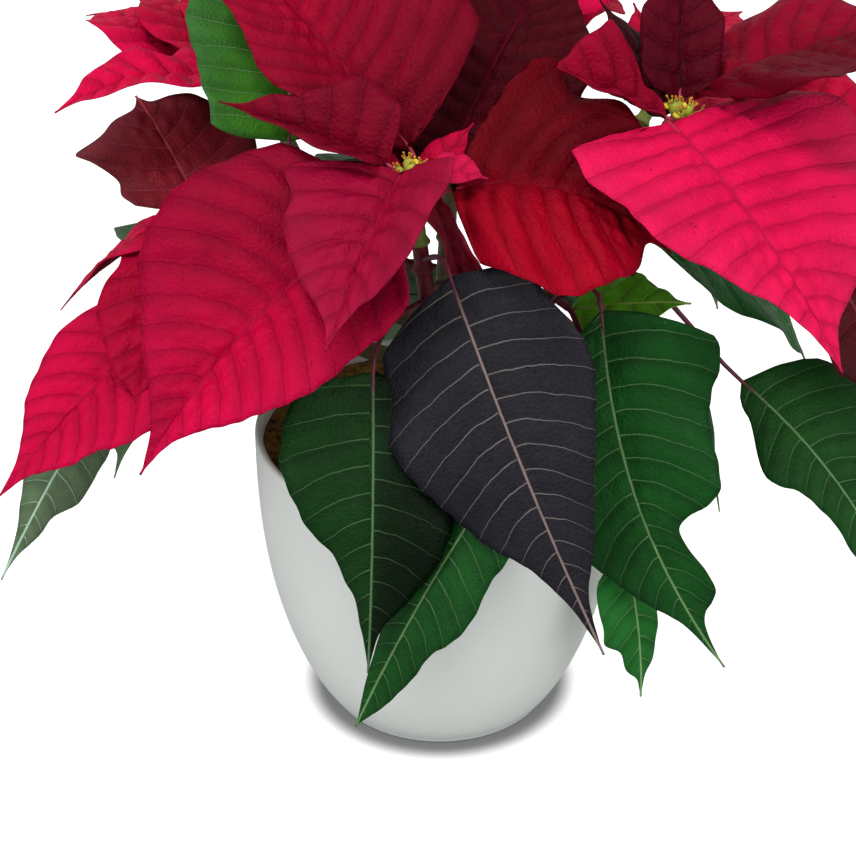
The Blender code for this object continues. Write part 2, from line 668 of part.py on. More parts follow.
def build_rosette(name, material, collection):
    """One rosette: its hub, and its bracts on their stalks."""
    shoot = SHOOTS[name]
    hub = [hub_point(shoot, t) for t in (0.0, 0.5, 1.0)]
    pieces = [add_tube("hub", hub, [HUB_RADIUS, HUB_RADIUS, HUB_RADIUS * 0.9], collection, 1)]
    for key, shape in rosette_shapes(name).items():
        start = hub_point(shoot, min(max(shape["up"], 0.08), 0.92))
        pieces.append(add_petiole(key + " petiole", start, shape, PETIOLE_RADIUS * 0.85, collection))
        pieces.append(add_blade(key, shape, BRACT_THICKNESS, collection))
    return fuse("bracts_" + name, pieces, material, collection)


def build_flowers(name, material, collection):
    """A knot of small round flower cups on top of the hub."""
    shoot = SHOOTS[name]
    foot = hub_point(shoot, 1.0)
    axis = unit(foot - hub_point(shoot, 0.0))
    lift = Vector(axis).to_track_quat("Z", "X")
    core = [foot + axis * GAP, foot + axis * (GAP + 0.003)]
    pieces = [add_tube("core", core, [HUB_RADIUS * 0.8, HUB_RADIUS * 0.9], collection, 1)]
    for k in range(FLOWER_COUNT):
        turn = 2 * math.pi * k / (FLOWER_COUNT - 1)
        lean = 0.0 if k == FLOWER_COUNT - 1 else 0.50 + 0.05 * k
        way = Vector((math.sin(lean) * math.cos(turn), math.sin(lean) * math.sin(turn), math.cos(lean)))
        way = lift @ way
        cup = bmesh.new()
        bmesh.ops.create_uvsphere(cup, u_segments=6, v_segments=3, radius=1.0)
        mesh = bpy.data.meshes.new("cup")
        cup.to_mesh(mesh)
        cup.free()
        flower = add_object("cup", mesh, collection)
        flower.rotation_mode = "QUATERNION"
        flower.rotation_quaternion = way.to_track_quat("Z", "X")
        flower.scale = (FLOWER_RADIUS, FLOWER_RADIUS, FLOWER_LENGTH / 2)
        flower.location = Vector(core[1]) + way * (FLOWER_LENGTH / 2 - 0.0004)
        pieces.append(flower)
    return fuse("flowers_" + name, pieces, material, collection)


def main():
    for obj in list(bpy.data.objects):
        bpy.data.objects.remove(obj, do_unlink=True)
    collection = bpy.data.collections.new("poinsettia")
    bpy.context.scene.collection.children.link(collection)
    build_pot(collection)
    build_soil(collection)
    build_trunk(collection)
    green = make_material("green leaf", "#1f4a28", 0.5)
    red = make_material("red bract", "#c4002f", 0.5)
    yellow = make_material("flower cup", "#a8a02a", 0.5)
    for name in SHOOTS:
        build_shoot(name, green, collection)
        build_rosette(name, red, collection)
        build_flowers(name, yellow, collection)


if __name__ == "__main__":
    main()
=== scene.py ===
# Poinsettia in a white pot: the looks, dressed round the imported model.
import functools
import json
import math
import random

import bpy
import numpy as np
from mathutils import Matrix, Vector

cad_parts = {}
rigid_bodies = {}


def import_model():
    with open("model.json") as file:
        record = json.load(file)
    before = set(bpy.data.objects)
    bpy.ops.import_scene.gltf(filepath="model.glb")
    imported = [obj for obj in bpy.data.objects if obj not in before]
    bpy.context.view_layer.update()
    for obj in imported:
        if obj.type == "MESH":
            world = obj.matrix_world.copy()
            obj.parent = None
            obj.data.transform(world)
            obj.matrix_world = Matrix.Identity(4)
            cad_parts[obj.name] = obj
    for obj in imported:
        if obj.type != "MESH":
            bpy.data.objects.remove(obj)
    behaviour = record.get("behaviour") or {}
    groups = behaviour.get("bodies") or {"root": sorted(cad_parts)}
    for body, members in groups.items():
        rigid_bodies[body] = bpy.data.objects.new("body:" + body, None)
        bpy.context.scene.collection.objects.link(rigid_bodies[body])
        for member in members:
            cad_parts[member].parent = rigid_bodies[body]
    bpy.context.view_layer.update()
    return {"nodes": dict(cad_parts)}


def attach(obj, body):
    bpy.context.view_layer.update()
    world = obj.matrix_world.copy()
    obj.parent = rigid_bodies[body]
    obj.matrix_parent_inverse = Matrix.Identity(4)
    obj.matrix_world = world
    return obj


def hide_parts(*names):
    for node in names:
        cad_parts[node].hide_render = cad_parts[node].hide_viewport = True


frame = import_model()
print("frame loaded with", len(frame["nodes"]), "nodes")


def linear(hexColour):
    channels = [int(hexColour[i:i + 2], 16) / 255 for i in (1, 3, 5)]  # sRGB hex to linear light
    return [c / 12.92 if c <= 0.04045 else ((c + 0.055) / 1.055) ** 2.4 for c in channels]


def addNode(tree, kind, links=None, **settings):
    # a socket is linked, a node stands for its first output in use, a list gives several of them,
    # and anything else is set
    made = tree.nodes.new(kind)
    for name, value in settings.items():
        setattr(made, name, value)
    for key, given in (links or {}).items():
        for value in given if isinstance(given, list) else [given]:
            if isinstance(value, bpy.types.Node):
                value = next(socket for socket in value.outputs if socket.enabled)
            if isinstance(value, bpy.types.NodeSocket):
                tree.links.new(value, made.inputs[key])
            else:
                made.inputs[key].default_value = value
    return made


def newMaterial(name):
    # the material, what adds nodes to its emptied tree, and the place on the object in metres
    material = bpy.data.materials.new(name)
    material.use_nodes = True
    material.node_tree.nodes.clear()
    add = functools.partial(addNode, material.node_tree)
    return material, add, add("ShaderNodeTexCoord").outputs["Object"]


def colourRamp(add, value, stops):
    ramp = add("ShaderNodeValToRGB", {0: value})
    for position, colour in stops[1:-1]:
        ramp.color_ramp.elements.new(position)
    for stop, (position, colour) in zip(ramp.color_ramp.elements, stops):
        stop.position, stop.color = position, (*linear(colour), 1)
    return ramp


def grainyMaterial(name, noise, colours, roughness, ior=1.5, specular=0.5, bump=None, stretch=None):
    # a skin whose colour runs from one tone to the next with its own grain, which may also roughen it
    material, add, spot = newMaterial(name)
    if stretch:
        spot = add("ShaderNodeMapping", {"Vector": spot, "Scale": stretch})
    grain = add("ShaderNodeTexNoise", {"Vector": spot, **noise})
    links = {"Base Color": colourRamp(add, grain, colours), "Roughness": roughness, "IOR": ior,
             "Specular IOR Level": specular}
    if bump:
        links["Normal"] = add("ShaderNodeBump", {"Height": grain, **bump})
    add("ShaderNodeOutputMaterial", {"Surface": add("ShaderNodeBsdfPrincipled", links)})
    return material


def unit(vector):
    return np.asarray(vector, float) / np.linalg.norm(vector)


def bezier(points, t):
    points = [np.asarray(point, float) for point in points]
    while len(points) > 1:
        points = [a + (b - a) * t for a, b in zip(points, points[1:])]
    return points[0]


# Outlines: where each edge swells or draws in, as place, amount, spread and side
shouldered = ((0.40, 0.16, 0.10, 1), (0.36, 0.16, 0.10, -1))
plain = ()
edgePlaces = (0.06, 0.22, 0.38, 0.54, 0.70)
edgeSpread = 0.10


def edges(left, right):
    # an outline given as how far each edge swells at the edge places
    return tuple((place, size, edgeSpread, side) for sizes, side in ((left, 1), (right, -1))
                 for place, size in zip(edgePlaces, sizes))


bladeDetail = {
    "grids": ((0.060, 84, 31), (0.026, 56, 21), (0.0, 30, 13)),  # from this width on: rows and columns
    "crowding": 1.35,  # above 1, columns stand closer by the midrib
    "thickness": 0.00042,
    "leastHalf": 0.0004,  # half the width of the thinnest place
    "baseRound": 0.045, "baseBlunt": 0.45,  # how far up, and how bluntly, the base is rounded off
    "dripPlace": 0.86, "dripSpread": 0.12,  # where the edge draws in before the tip
    "scallop": 0.008,  # how far the edge steps out between two side veins
    "veinSpacing": 0.0088,  # between two side veins, along the midrib
    "veinLeast": 4,
    "veinCurve": 1.7,
    "veinRise": 40,  # degrees by which side veins point further ahead at the tip
    "sideShift": 0.35,  # the two edges wave out of step by this
    "puff": 0.0009, "puffRound": 0.8, "puffSink": 0.35,  # how the skin swells between two veins
    "puffRoom": 0.014, "ribRoom": 0.08, "edgeCalm": 6,  # where there is no room to swell
    "cell": 0.0062, "crinkle": 0.42,  # length and share of one crinkle between two side veins
    "ripples": ((4, 0.00016, 90, 240), (5, 0.00008, 450, 1000)),  # count, height, least and most per metre
    "ribHeight": 0.0011, "ribWidth": 0.0010, "ribFade": 0.7, "ribFull": 0.05,  # the ridge on the underside
    "petioleRise": 0.4, "petioleReach": 0.35, "petioleDrop": 0.0004,  # how the stalk arches up to the blade
    "seed": 25,
}
bladeTint = {
    "paintedSideBlend": 5,  # how sharply the painted shade of the left side gives way to that of the right side
    "paintedRootReach": 0.6, "paintedRootBlend": 1.2,  # how far up the painted shade at the root runs
    "spread": 0.06,  # how much one blade differs from the next
    "ribBlend": 0.0016,  # how far the midrib's colour spreads
    "edgeShare": 0.6, "tipShare": 0.3,  # how much of the edge colour shows at the edge and the tip
    # painted shade in the furrows along the side veins and painted light on the swellings between them
    "furrowShadePlace": 0.12, "furrowShadeRound": 0.7, "swellLightLift": 0.35,
}


def blade(root, tip, width, bow=30, roll=0, fold=12, curl=-15, **more):
    # bow arches it, roll lifts its left side, fold lifts both sides and curl bends them on to the edge
    shape = dict(root=root, tip=tip, width=width, bow=bow, roll=roll, fold=fold, curl=curl)
    shape.update(twist=0, sway=0, skew=0, wave=0.08, waves=2.2, phase=0.0, up=0.5, lean=82)
    shape.update(start=0.05, early=0.45, late=1.5, drip=0.35, lobes=shouldered)
    shape.update(more)
    return shape


def spine(shape, count=33):
    # the midrib's points, with the direction to the left side and the one out of the skin
    root = np.asarray(shape["root"], float)
    tip = np.asarray(shape["tip"], float)
    chord = tip - root
    heading = math.atan2(chord[1], chord[0])
    s = np.linspace(0.0, 1.0, count)
    pitch = math.atan2(chord[2], math.hypot(chord[0], chord[1])) + math.radians(shape["bow"]) * (0.5 - s)
    level = np.cos(pitch)
    ahead = np.stack([level * math.cos(heading), level * math.sin(heading), np.sin(pitch)], -1)
    flatSide = np.stack([-math.sin(heading) + 0 * s, math.cos(heading) + 0 * s, 0 * s], -1)
    flatUp = np.cross(ahead, flatSide)
    turn = np.radians(shape["roll"] + shape["twist"] * s)[:, None]
    side = flatSide * np.cos(turn) + flatUp * np.sin(turn)
    up = flatUp * np.cos(turn) - flatSide * np.sin(turn)
    points = np.zeros((count, 3))
    points[1:] = np.cumsum((ahead[1:] + ahead[:-1]) / 2, axis=0) * np.linalg.norm(chord) / (count - 1)
    points += root
    points += s[:, None] * (tip - points[-1])
    points += side * (shape["sway"] * 4 * s * (1 - s))[:, None]
    return points, side, up


def halfWidth(shape, q, sign):
    early, late, start = shape["early"], shape["late"], shape["start"]
    widest = max(0.0, (early - late * start) / (early + late))
    top = (widest + start) ** early * (1 - widest) ** late
    half = shape["width"] / 2 * (q + start) ** early * np.clip(1 - q, 0, 1) ** late / top
    half = half * (1 + shape["skew"] * sign)
    for where, size, spread, side in shape["lobes"]:
        half = half * (1 + size * (side == sign) * np.exp(-((q - where) / spread) ** 2))
    dip = np.exp(-((q - bladeDetail["dripPlace"]) / bladeDetail["dripSpread"]) ** 2)
    return np.maximum(half * (1 - shape["drip"] * dip), bladeDetail["leastHalf"])


def bladeSheet(shape, rows, count, chance, quilt):
    # the skin's middle as a grid: rows follow the side veins and columns run from one edge to the other
    detail = bladeDetail
    points, side, up = spine(shape)
    length = np.linalg.norm(np.diff(points, axis=0), axis=1).sum()
    chord = np.linalg.norm(np.subtract(shape["tip"], shape["root"]))
    veins = max(detail["veinLeast"], round(chord / detail["veinSpacing"]))
    q = np.linspace(0.0, 1.0, rows)
    columns = np.linspace(-1.0, 1.0, count)
    across = np.sign(columns) * np.abs(columns) ** detail["crowding"]
    grid = np.zeros((rows, count, 3))
    reach, place = np.zeros((rows, count)), np.zeros((rows, count))
    rounded = np.clip(q / detail["baseRound"], 0.0, 1.0) ** detail["baseBlunt"]
    cells = {sign: [chance.random() for _ in range(veins + 2)] for sign in (1, -1)}
    ripples = [(size, chance.uniform(low, high), chance.uniform(low, high), chance.uniform(0, 6.3))
               for number, size, low, high in detail["ripples"] for _ in range(number)]
    for j, u in enumerate(across):
        sign = 1 if u >= 0 else -1
        along = q * veins + (0.5 if sign < 0 else 0.0)  # counts the side veins, which alternate
        half = halfWidth(shape, q, sign) * rounded
        half = half * (1 + detail["scallop"] * np.cos(2 * math.pi * along) * abs(u))
        half = np.maximum(half, detail["leastHalf"])
        forward = half / length / np.tan(np.radians(shape["lean"] - detail["veinRise"] * q))
        s = np.clip(q + forward * abs(u) ** detail["veinCurve"], 0, 1)
        lift = np.radians(shape["fold"] + shape["curl"] * abs(u) / 2)
        out = half * u * np.cos(lift)
        turns = shape["waves"] * (q + forward) + shape["phase"] + (detail["sideShift"] if sign < 0 else 0.0)
        height = half * abs(u) * np.sin(lift) + shape["wave"] * half * u * u * np.sin(2 * math.pi * turns)
        step = np.clip(along.astype(int), 0, veins + 1)
        swell = np.sin(math.pi * (along % 1.0)) ** detail["puffRound"]
        crinkle = np.sin(2 * math.pi * (half * abs(u) / detail["cell"] + np.array(cells[sign])[step]))
        room = np.minimum(1.0, half / detail["puffRoom"]) * min(1.0, abs(u) / detail["ribRoom"])
        room = room * (1 - abs(u) ** detail["edgeCalm"])
        swell = swell * (1.0 + detail["crinkle"] * crinkle) - detail["puffSink"]
        height = height + detail["puff"] * quilt * room * swell
        for size, fine, coarse, start in ripples:
            height = height + size * quilt * room * np.sin(fine * s * length + coarse * half * u + start)
        knot = s * (len(points) - 1)
        low = np.minimum(knot.astype(int), len(points) - 2)
        part = (knot - low)[:, None]
        for line, amount in ((points, 1.0), (side, out[:, None]), (up, height[:, None])):
            grid[:, j] += (line[low] * (1 - part) + line[low + 1] * part) * amount
        reach[:, j] = half * u
        place[:, j] = along
    return grid, across, q, reach, place


def bladeColours(look, across, q, reach, place, chance):
    # colours of the upper skin, of its veins and of the under skin, as grids, with each blade's painted light
    # and shade in them
    tint = bladeTint
    paintedSideMask = 0.5 + 0.5 * np.tanh(across * tint["paintedSideBlend"])[None, :]
    paintedLightAndSpread = look["tone"] * (look["right"] * (1 - paintedSideMask) + look["left"] * paintedSideMask)
    paintedRootRamp = np.clip(q / tint["paintedRootReach"], 0, 1) ** tint["paintedRootBlend"]
    paintedLightAndSpread = paintedLightAndSpread * (look["root"] + (1 - look["root"]) * paintedRootRamp)[:, None]
    paintedLightAndSpread = (paintedLightAndSpread * (1 + tint["spread"] * (chance.random() - 0.5)))[:, :, None]
    near = np.exp(-(np.abs(reach) / tint["ribBlend"]) ** 2)[:, :, None]
    mix = np.abs(across)[None, :] ** 2 * tint["edgeShare"] + q[:, None] * tint["tipShare"]
    mix = mix[:, :, None].clip(0, 1)
    skin = (np.array(linear(look["upper"])) * (1 - mix) + np.array(linear(look["edge"])) * mix) * paintedLightAndSpread
    vein = np.array(linear(look["vein"])) * (1 - near) + np.array(linear(look["rib"])) * near
    # painted shade and light: the skin is darker in the furrows along the side veins and brighter on the
    # swellings between them
    paintedSwellLight = np.sin(math.pi * ((place - tint["furrowShadePlace"]) % 1.0)) ** tint["furrowShadeRound"]
    skin = skin * (1 + look["furrowShade"] * (tint["swellLightLift"] - 1 + paintedSwellLight))[:, :, None]
    return skin, vein * paintedLightAndSpread ** 0.5, np.array(linear(look["under"])) * paintedLightAndSpread


def bladeShell(shape, look, key):
    # a closed thin shell: the upper skin, the under skin with its ridge, and the edge between them
    detail, chance = bladeDetail, random.Random(key)
    rows, count = next(grid[1:] for grid in detail["grids"] if shape["width"] >= grid[0])
    grid, across, q, reach, place = bladeSheet(shape, rows, count, chance, look["quilt"])
    normal = np.cross(np.gradient(grid, axis=0), np.gradient(grid, axis=1))
    normal /= np.linalg.norm(normal, axis=2)[:, :, None] + 1e-12
    normal[-1] = normal[-2]
    fade = (1 - q)[:, None] ** detail["ribFade"] * min(1.0, shape["width"] / detail["ribFull"])
    ridge = detail["ribHeight"] * fade * np.exp(-(reach / detail["ribWidth"]) ** 2)
    half = detail["thickness"] / 2
    upper = grid + normal * half
    under = grid - normal * (half + ridge)[:, :, None]
    size = rows * count
    index = np.arange(size).reshape(rows, count)
    sheet = np.stack([index[:-1, :-1], index[:-1, 1:], index[1:, 1:], index[1:, :-1]], -1).reshape(-1, 4)
    border = np.concatenate([index[0, :], index[1:, -1], index[-1, -2::-1], index[-2:0:-1, 0]])
    nextOne = np.roll(border, -1)
    edge = np.stack([border, nextOne, nextOne + size, border + size], -1)
    skin, vein, underSkin = bladeColours(look, across, q, reach, place, chance)
    spot = np.stack([np.broadcast_to(across, reach.shape), place, reach * 1000], -1)  # the last one in mm
    pairs = {"points": (upper, under), "tint": (skin, underSkin), "vein": (vein, vein), "place": (spot, spot)}
    part = {layer: np.concatenate([side.reshape(-1, 3) for side in pair]) for layer, pair in pairs.items()}
    part["faces"] = np.concatenate([sheet[:, ::-1], sheet + size, edge]).tolist()
    part["slots"] = [0] * len(sheet) + [1] * len(sheet) + [0] * len(edge)
    return part


def stemLike(points, faces, slot, hexColour):
    # the same dictionary as a blade's, in one plain colour
    colour = np.tile(linear(hexColour), (len(points), 1))
    return {"points": points, "faces": faces, "slots": [slot] * len(faces), "tint": colour, "vein": colour,
            "place": np.tile((0.5, 0.5, 30.0), (len(points), 1))}


def petiolePath(start, shape, steps=10):
    # from the stem to the blade's root, and on under the first piece of the midrib
    points, _, up = spine(shape)
    root, ahead = points[0], unit(points[2] - points[0])
    span = np.linalg.norm(root - start)
    outward = unit((root - start) * (1, 1, 0) + (0, 0, bladeDetail["petioleRise"] * span))
    reach = span * bladeDetail["petioleReach"]
    knots = (start, start + outward * reach, root - ahead * reach, root)
    path = [bezier(knots, t) for t in np.linspace(0, 1, steps)]
    path += [points[k] - up[k] * bladeDetail["petioleDrop"] for k in (2, 4)]
    return np.array(path)


def tube(path, radii, sides=10):
    # a round stalk along a path, closed at both ends
    path = np.asarray(path, float)
    ahead = np.gradient(path, axis=0)
    ahead /= np.linalg.norm(ahead, axis=1)[:, None]
    side = np.cross(ahead[0], (0.3, 0.5, 0.8))
    angles = np.arange(sides) * 2 * math.pi / sides
    rings = []
    for point, direction, radius in zip(path, ahead, radii):
        side = unit(side - direction * np.dot(side, direction))
        other = np.cross(direction, side)
        rings.append(point + radius * (np.cos(angles)[:, None] * side + np.sin(angles)[:, None] * other))
    index = np.arange(len(path) * sides).reshape(len(path), sides)
    a, b = index[:-1], np.roll(index[:-1], -1, axis=1)
    faces = np.stack([a, b, b + sides, a + sides], -1).reshape(-1, 4).tolist()
    faces += [index[0, ::-1].tolist(), index[-1].tolist()]
    return np.concatenate(rings), faces


def joinedMesh(name, parts, materials):
    faces, slots, first = [], [], 0
    for part in parts:
        faces += [[first + corner for corner in face] for face in part["faces"]]
        slots += part["slots"]
        first += len(part["points"])
    layers = ("points", "tint", "vein", "place")
    every = {layer: np.concatenate([part[layer] for part in parts]) for layer in layers}
    mesh = bpy.data.meshes.new(name)
    mesh.from_pydata(every["points"].tolist(), [], faces)
    for material in materials:
        mesh.materials.append(material)
    mesh.polygons.foreach_set("material_index", slots)
    for attribute in ("tint", "vein"):
        values = np.concatenate([every[attribute], np.ones((first, 1))], axis=1)
        layer = mesh.color_attributes.new(attribute, "FLOAT_COLOR", "POINT")
        layer.data.foreach_set("color", values.astype(np.float32).ravel())
    layer = mesh.attributes.new("place", "FLOAT_VECTOR", "POINT")
    layer.data.foreach_set("vector", every["place"].astype(np.float32).ravel())
    mesh.shade_smooth()
    mesh.update()
    piece = bpy.data.objects.new(name, mesh)
    bpy.context.scene.collection.objects.link(piece)
    return piece


# Each shoot leaves the trunk at its fork, turns at its elbow and ends under its rosette
shoots = {
    "front": dict(fork=0.15, elbow=(-0.004, -0.022, 0.172), crown=(-0.0075, -0.025, 0.2075)),
    "right": dict(fork=0.146, elbow=(0.05, 0.002, 0.168), crown=(0.0745, 0.001, 0.2195)),
    "left": dict(fork=0.142, elbow=(-0.046, 0.0, 0.148), crown=(-0.064, 0.014, 0.176)),
    "back_left": dict(fork=0.147, elbow=(-0.038, 0.04, 0.17), crown=(-0.06, 0.063, 0.211)),
    "back": dict(fork=0.151, elbow=(0.004, 0.058, 0.18), crown=(0.006, 0.09, 0.226)),
    "back_right": dict(fork=0.144, elbow=(0.045, 0.05, 0.164), crown=(0.078, 0.084, 0.204)),
}

# The large bracts that shape each rosette, lowest first
bracts = {
    "front": {
        "low_left": blade(
            (-0.019, -0.0393, 0.2268), (-0.1045, -0.0803, 0.1455), 0.0899, 38, -32, 20, up=0.12, lean=80,
            skew=-0.03, sway=0.0011,
            lobes=edges((0.0, -0.12, -0.02, -0.08, -0.16), (0.06, 0.09, 0.13, -0.02, -0.17)),
        ),
        "back": blade(
            (-0.012, -0.004, 0.226), (-0.006, 0.07, 0.264), 0.06, 26, 0, 18, up=0.3,
        ),
        "back_right": blade(
            (0.002, -0.012, 0.23), (0.046, 0.078, 0.276), 0.076, 26, 8, 20, up=0.2,
        ),
        "right": blade(
            (0.0039, -0.0317, 0.2315), (0.0793, -0.046, 0.214), 0.0875, 30, 35, 20, up=0.4, lean=73,
            skew=-0.05, sway=0.0069, late=1.7,
            lobes=edges((0.28, -0.18, 0.0, 0.0, 0.0), (-0.14, -0.01, 0.04, 0.04, 0.17)),
        ),
        "back_left": blade(
            (-0.011, -0.0147, 0.2395), (-0.089, 0.0799, 0.2929), 0.0779, 30, -20, 30, up=0.6, start=0.1,
            lean=73, skew=-0.28, sway=0.0046,
            lobes=edges((-0.45, 0.12, 0.05, 0.25, -0.01), (0.05, -0.13, 0.0, 0.0, 0.0)),
        ),
        "flap": blade(
            (-0.0136, -0.0338, 0.2384), (-0.0387, -0.091, 0.2004), 0.075, 30, 12, 33, up=0.45,
            start=0.1, lean=81, skew=0.08, sway=0.0011,
            lobes=edges((-0.07, -0.27, 0.01, -0.13, -0.31), (0.2, -0.13, -0.04, -0.09, -0.19)),
        ),
        "left_fold": blade(
            (-0.0187, -0.0257, 0.2382), (-0.0779, -0.0051, 0.2528), 0.0428, 12, -24, 53, up=0.7,
            start=0.12, lean=90, skew=-0.02, sway=0.0008,
            lobes=edges((-0.11, 0.0, 0.01, 0.0, 0.02), (-0.01, 0.2, -0.08, -0.13, -0.02)),
        ),
        "curled": blade(
            (-0.004, -0.031, 0.238), (0.016, -0.039, 0.239), 0.016, 24, 20, 20, up=0.72,
            lobes=plain,
        ),
        "under": blade(
            (-0.003, -0.0165, 0.223), (0.011, -0.011, 0.166), 0.05, 14, 0, 8, up=0.25, start=0.1,
            lobes=plain,
        ),
    },
    "right": {
        "front": blade(
            (0.0801, -0.0125, 0.2477), (0.1344, -0.0884, 0.1912), 0.1272, 44, 0, 8, up=0.3, start=0.12,
            lean=97, skew=0.19, sway=-0.0031,
            lobes=edges((-0.35, -0.05, 0.0, -0.11, -0.08), (-0.08, -0.19, 0.01, -0.22, -0.3)),
        ),
        "left_fold": blade(
            (0.0787, -0.0088, 0.2486), (0.0397, -0.0166, 0.2703), 0.0321, 8, -28, 50, up=0.7, start=0.02,
            lean=75, skew=-0.02, sway=0.0015, early=0.9, late=1.1,
            lobes=edges((-0.06, -0.19, 0.07, 0.03, -0.01), (-0.18, -0.45, 0.5, 0.04, -0.1)),
        ),
        "back_right": blade(
            (0.0906, 0.0107, 0.2494), (0.1796, 0.0188, 0.2703), 0.078, 34, -2, 16, up=0.35, skew=-0.11,
            sway=-0.0004, lobes=edges((-0.44, 0.06, 0.15, 0.0, 0.0), (-0.45, 0.45, 0.03, 0.0, 0.0)),
        ),
        "upright": blade(
            (0.085, 0.008, 0.248), (0.086, 0.044, 0.296), 0.03, 16, 0, 24, up=0.8,
        ),
    },
    "left": {
        "low_left": blade(
            (-0.0797, -0.0126, 0.189), (-0.1592, -0.0609, 0.1225), 0.0654, 24, -18, 14, up=0.2,
            start=0.03, lean=71, skew=0.13, sway=0.0022,
            lobes=edges((0.0, -0.07, -0.02, -0.18, -0.16), (0.01, -0.21, 0.03, 0.05, -0.12)),
        ),
        "middle": blade(
            (-0.0783, -0.0061, 0.1998), (-0.1064, -0.0627, 0.1539), 0.0616, 34, -10, 14, up=0.5, lean=78,
            sway=-0.0014, lobes=edges((0.0, 0.0, 0.0, 0.0, 0.0), (0.03, -0.14, 0.03, -0.02, 0.01)),
        ),
        "far_left": blade(
            (-0.083, 0.006, 0.202), (-0.14, 0.0, 0.167), 0.042, 44, 16, 14, up=0.7,
        ),
    },
    "back_left": {
        "left_fold": blade(
            (-0.0785, 0.0512, 0.2347), (-0.1395, 0.02, 0.2371), 0.0425, 36, 0, 24, up=0.5, start=0.02,
            lean=84, skew=0.01, sway=-0.0049, early=0.3, late=1.3,
            lobes=edges((0.0, 0.09, 0.03, -0.01, 0.06), (0.2, -0.37, -0.03, 0.0, 0.0)),
        ),
    },
    "back": {},
    "back_right": {},
}

# Rings of further bracts by rule: headings in degrees, place up the hub, stalk, length, width, pitch, bow
tiers = {
    "front": [
        ((150, 35), 0.6, 0.007, 0.026, 0.015, 42, 16),
    ],
    "right": [
        ((-14, 34), 0.1, 0.016, 0.08, 0.056, -22, 40),
        ((142,), 0.7, 0.008, 0.05, 0.036, 54, 16),
    ],
    "left": [
        ((292,), 0.4, 0.014, 0.066, 0.046, 4, 30),
        ((-60, 60), 0.6, 0.007, 0.03, 0.018, 34, 20),
    ],
    "back_left": [
        ((92, 130), 0.3, 0.018, 0.1, 0.07, 0, 44),
        ((84, 136), 0.5, 0.01, 0.07, 0.05, 12, 32),
        ((20, 260), 0.6, 0.007, 0.032, 0.02, 38, 20),
    ],
    "back": [
        ((62, 100), 0.1, 0.018, 0.108, 0.072, -8, 44),
        ((28, 74, 124), 0.4, 0.012, 0.078, 0.054, 10, 32),
        ((-10, 220), 0.6, 0.007, 0.034, 0.022, 40, 20),
    ],
    "back_right": [
        ((12, 46, 84), 0.1, 0.018, 0.102, 0.07, -18, 44),
        ((18, 62), 0.5, 0.01, 0.074, 0.052, 6, 32),
        ((110, 250), 0.6, 0.007, 0.032, 0.02, 36, 20),
    ],
}

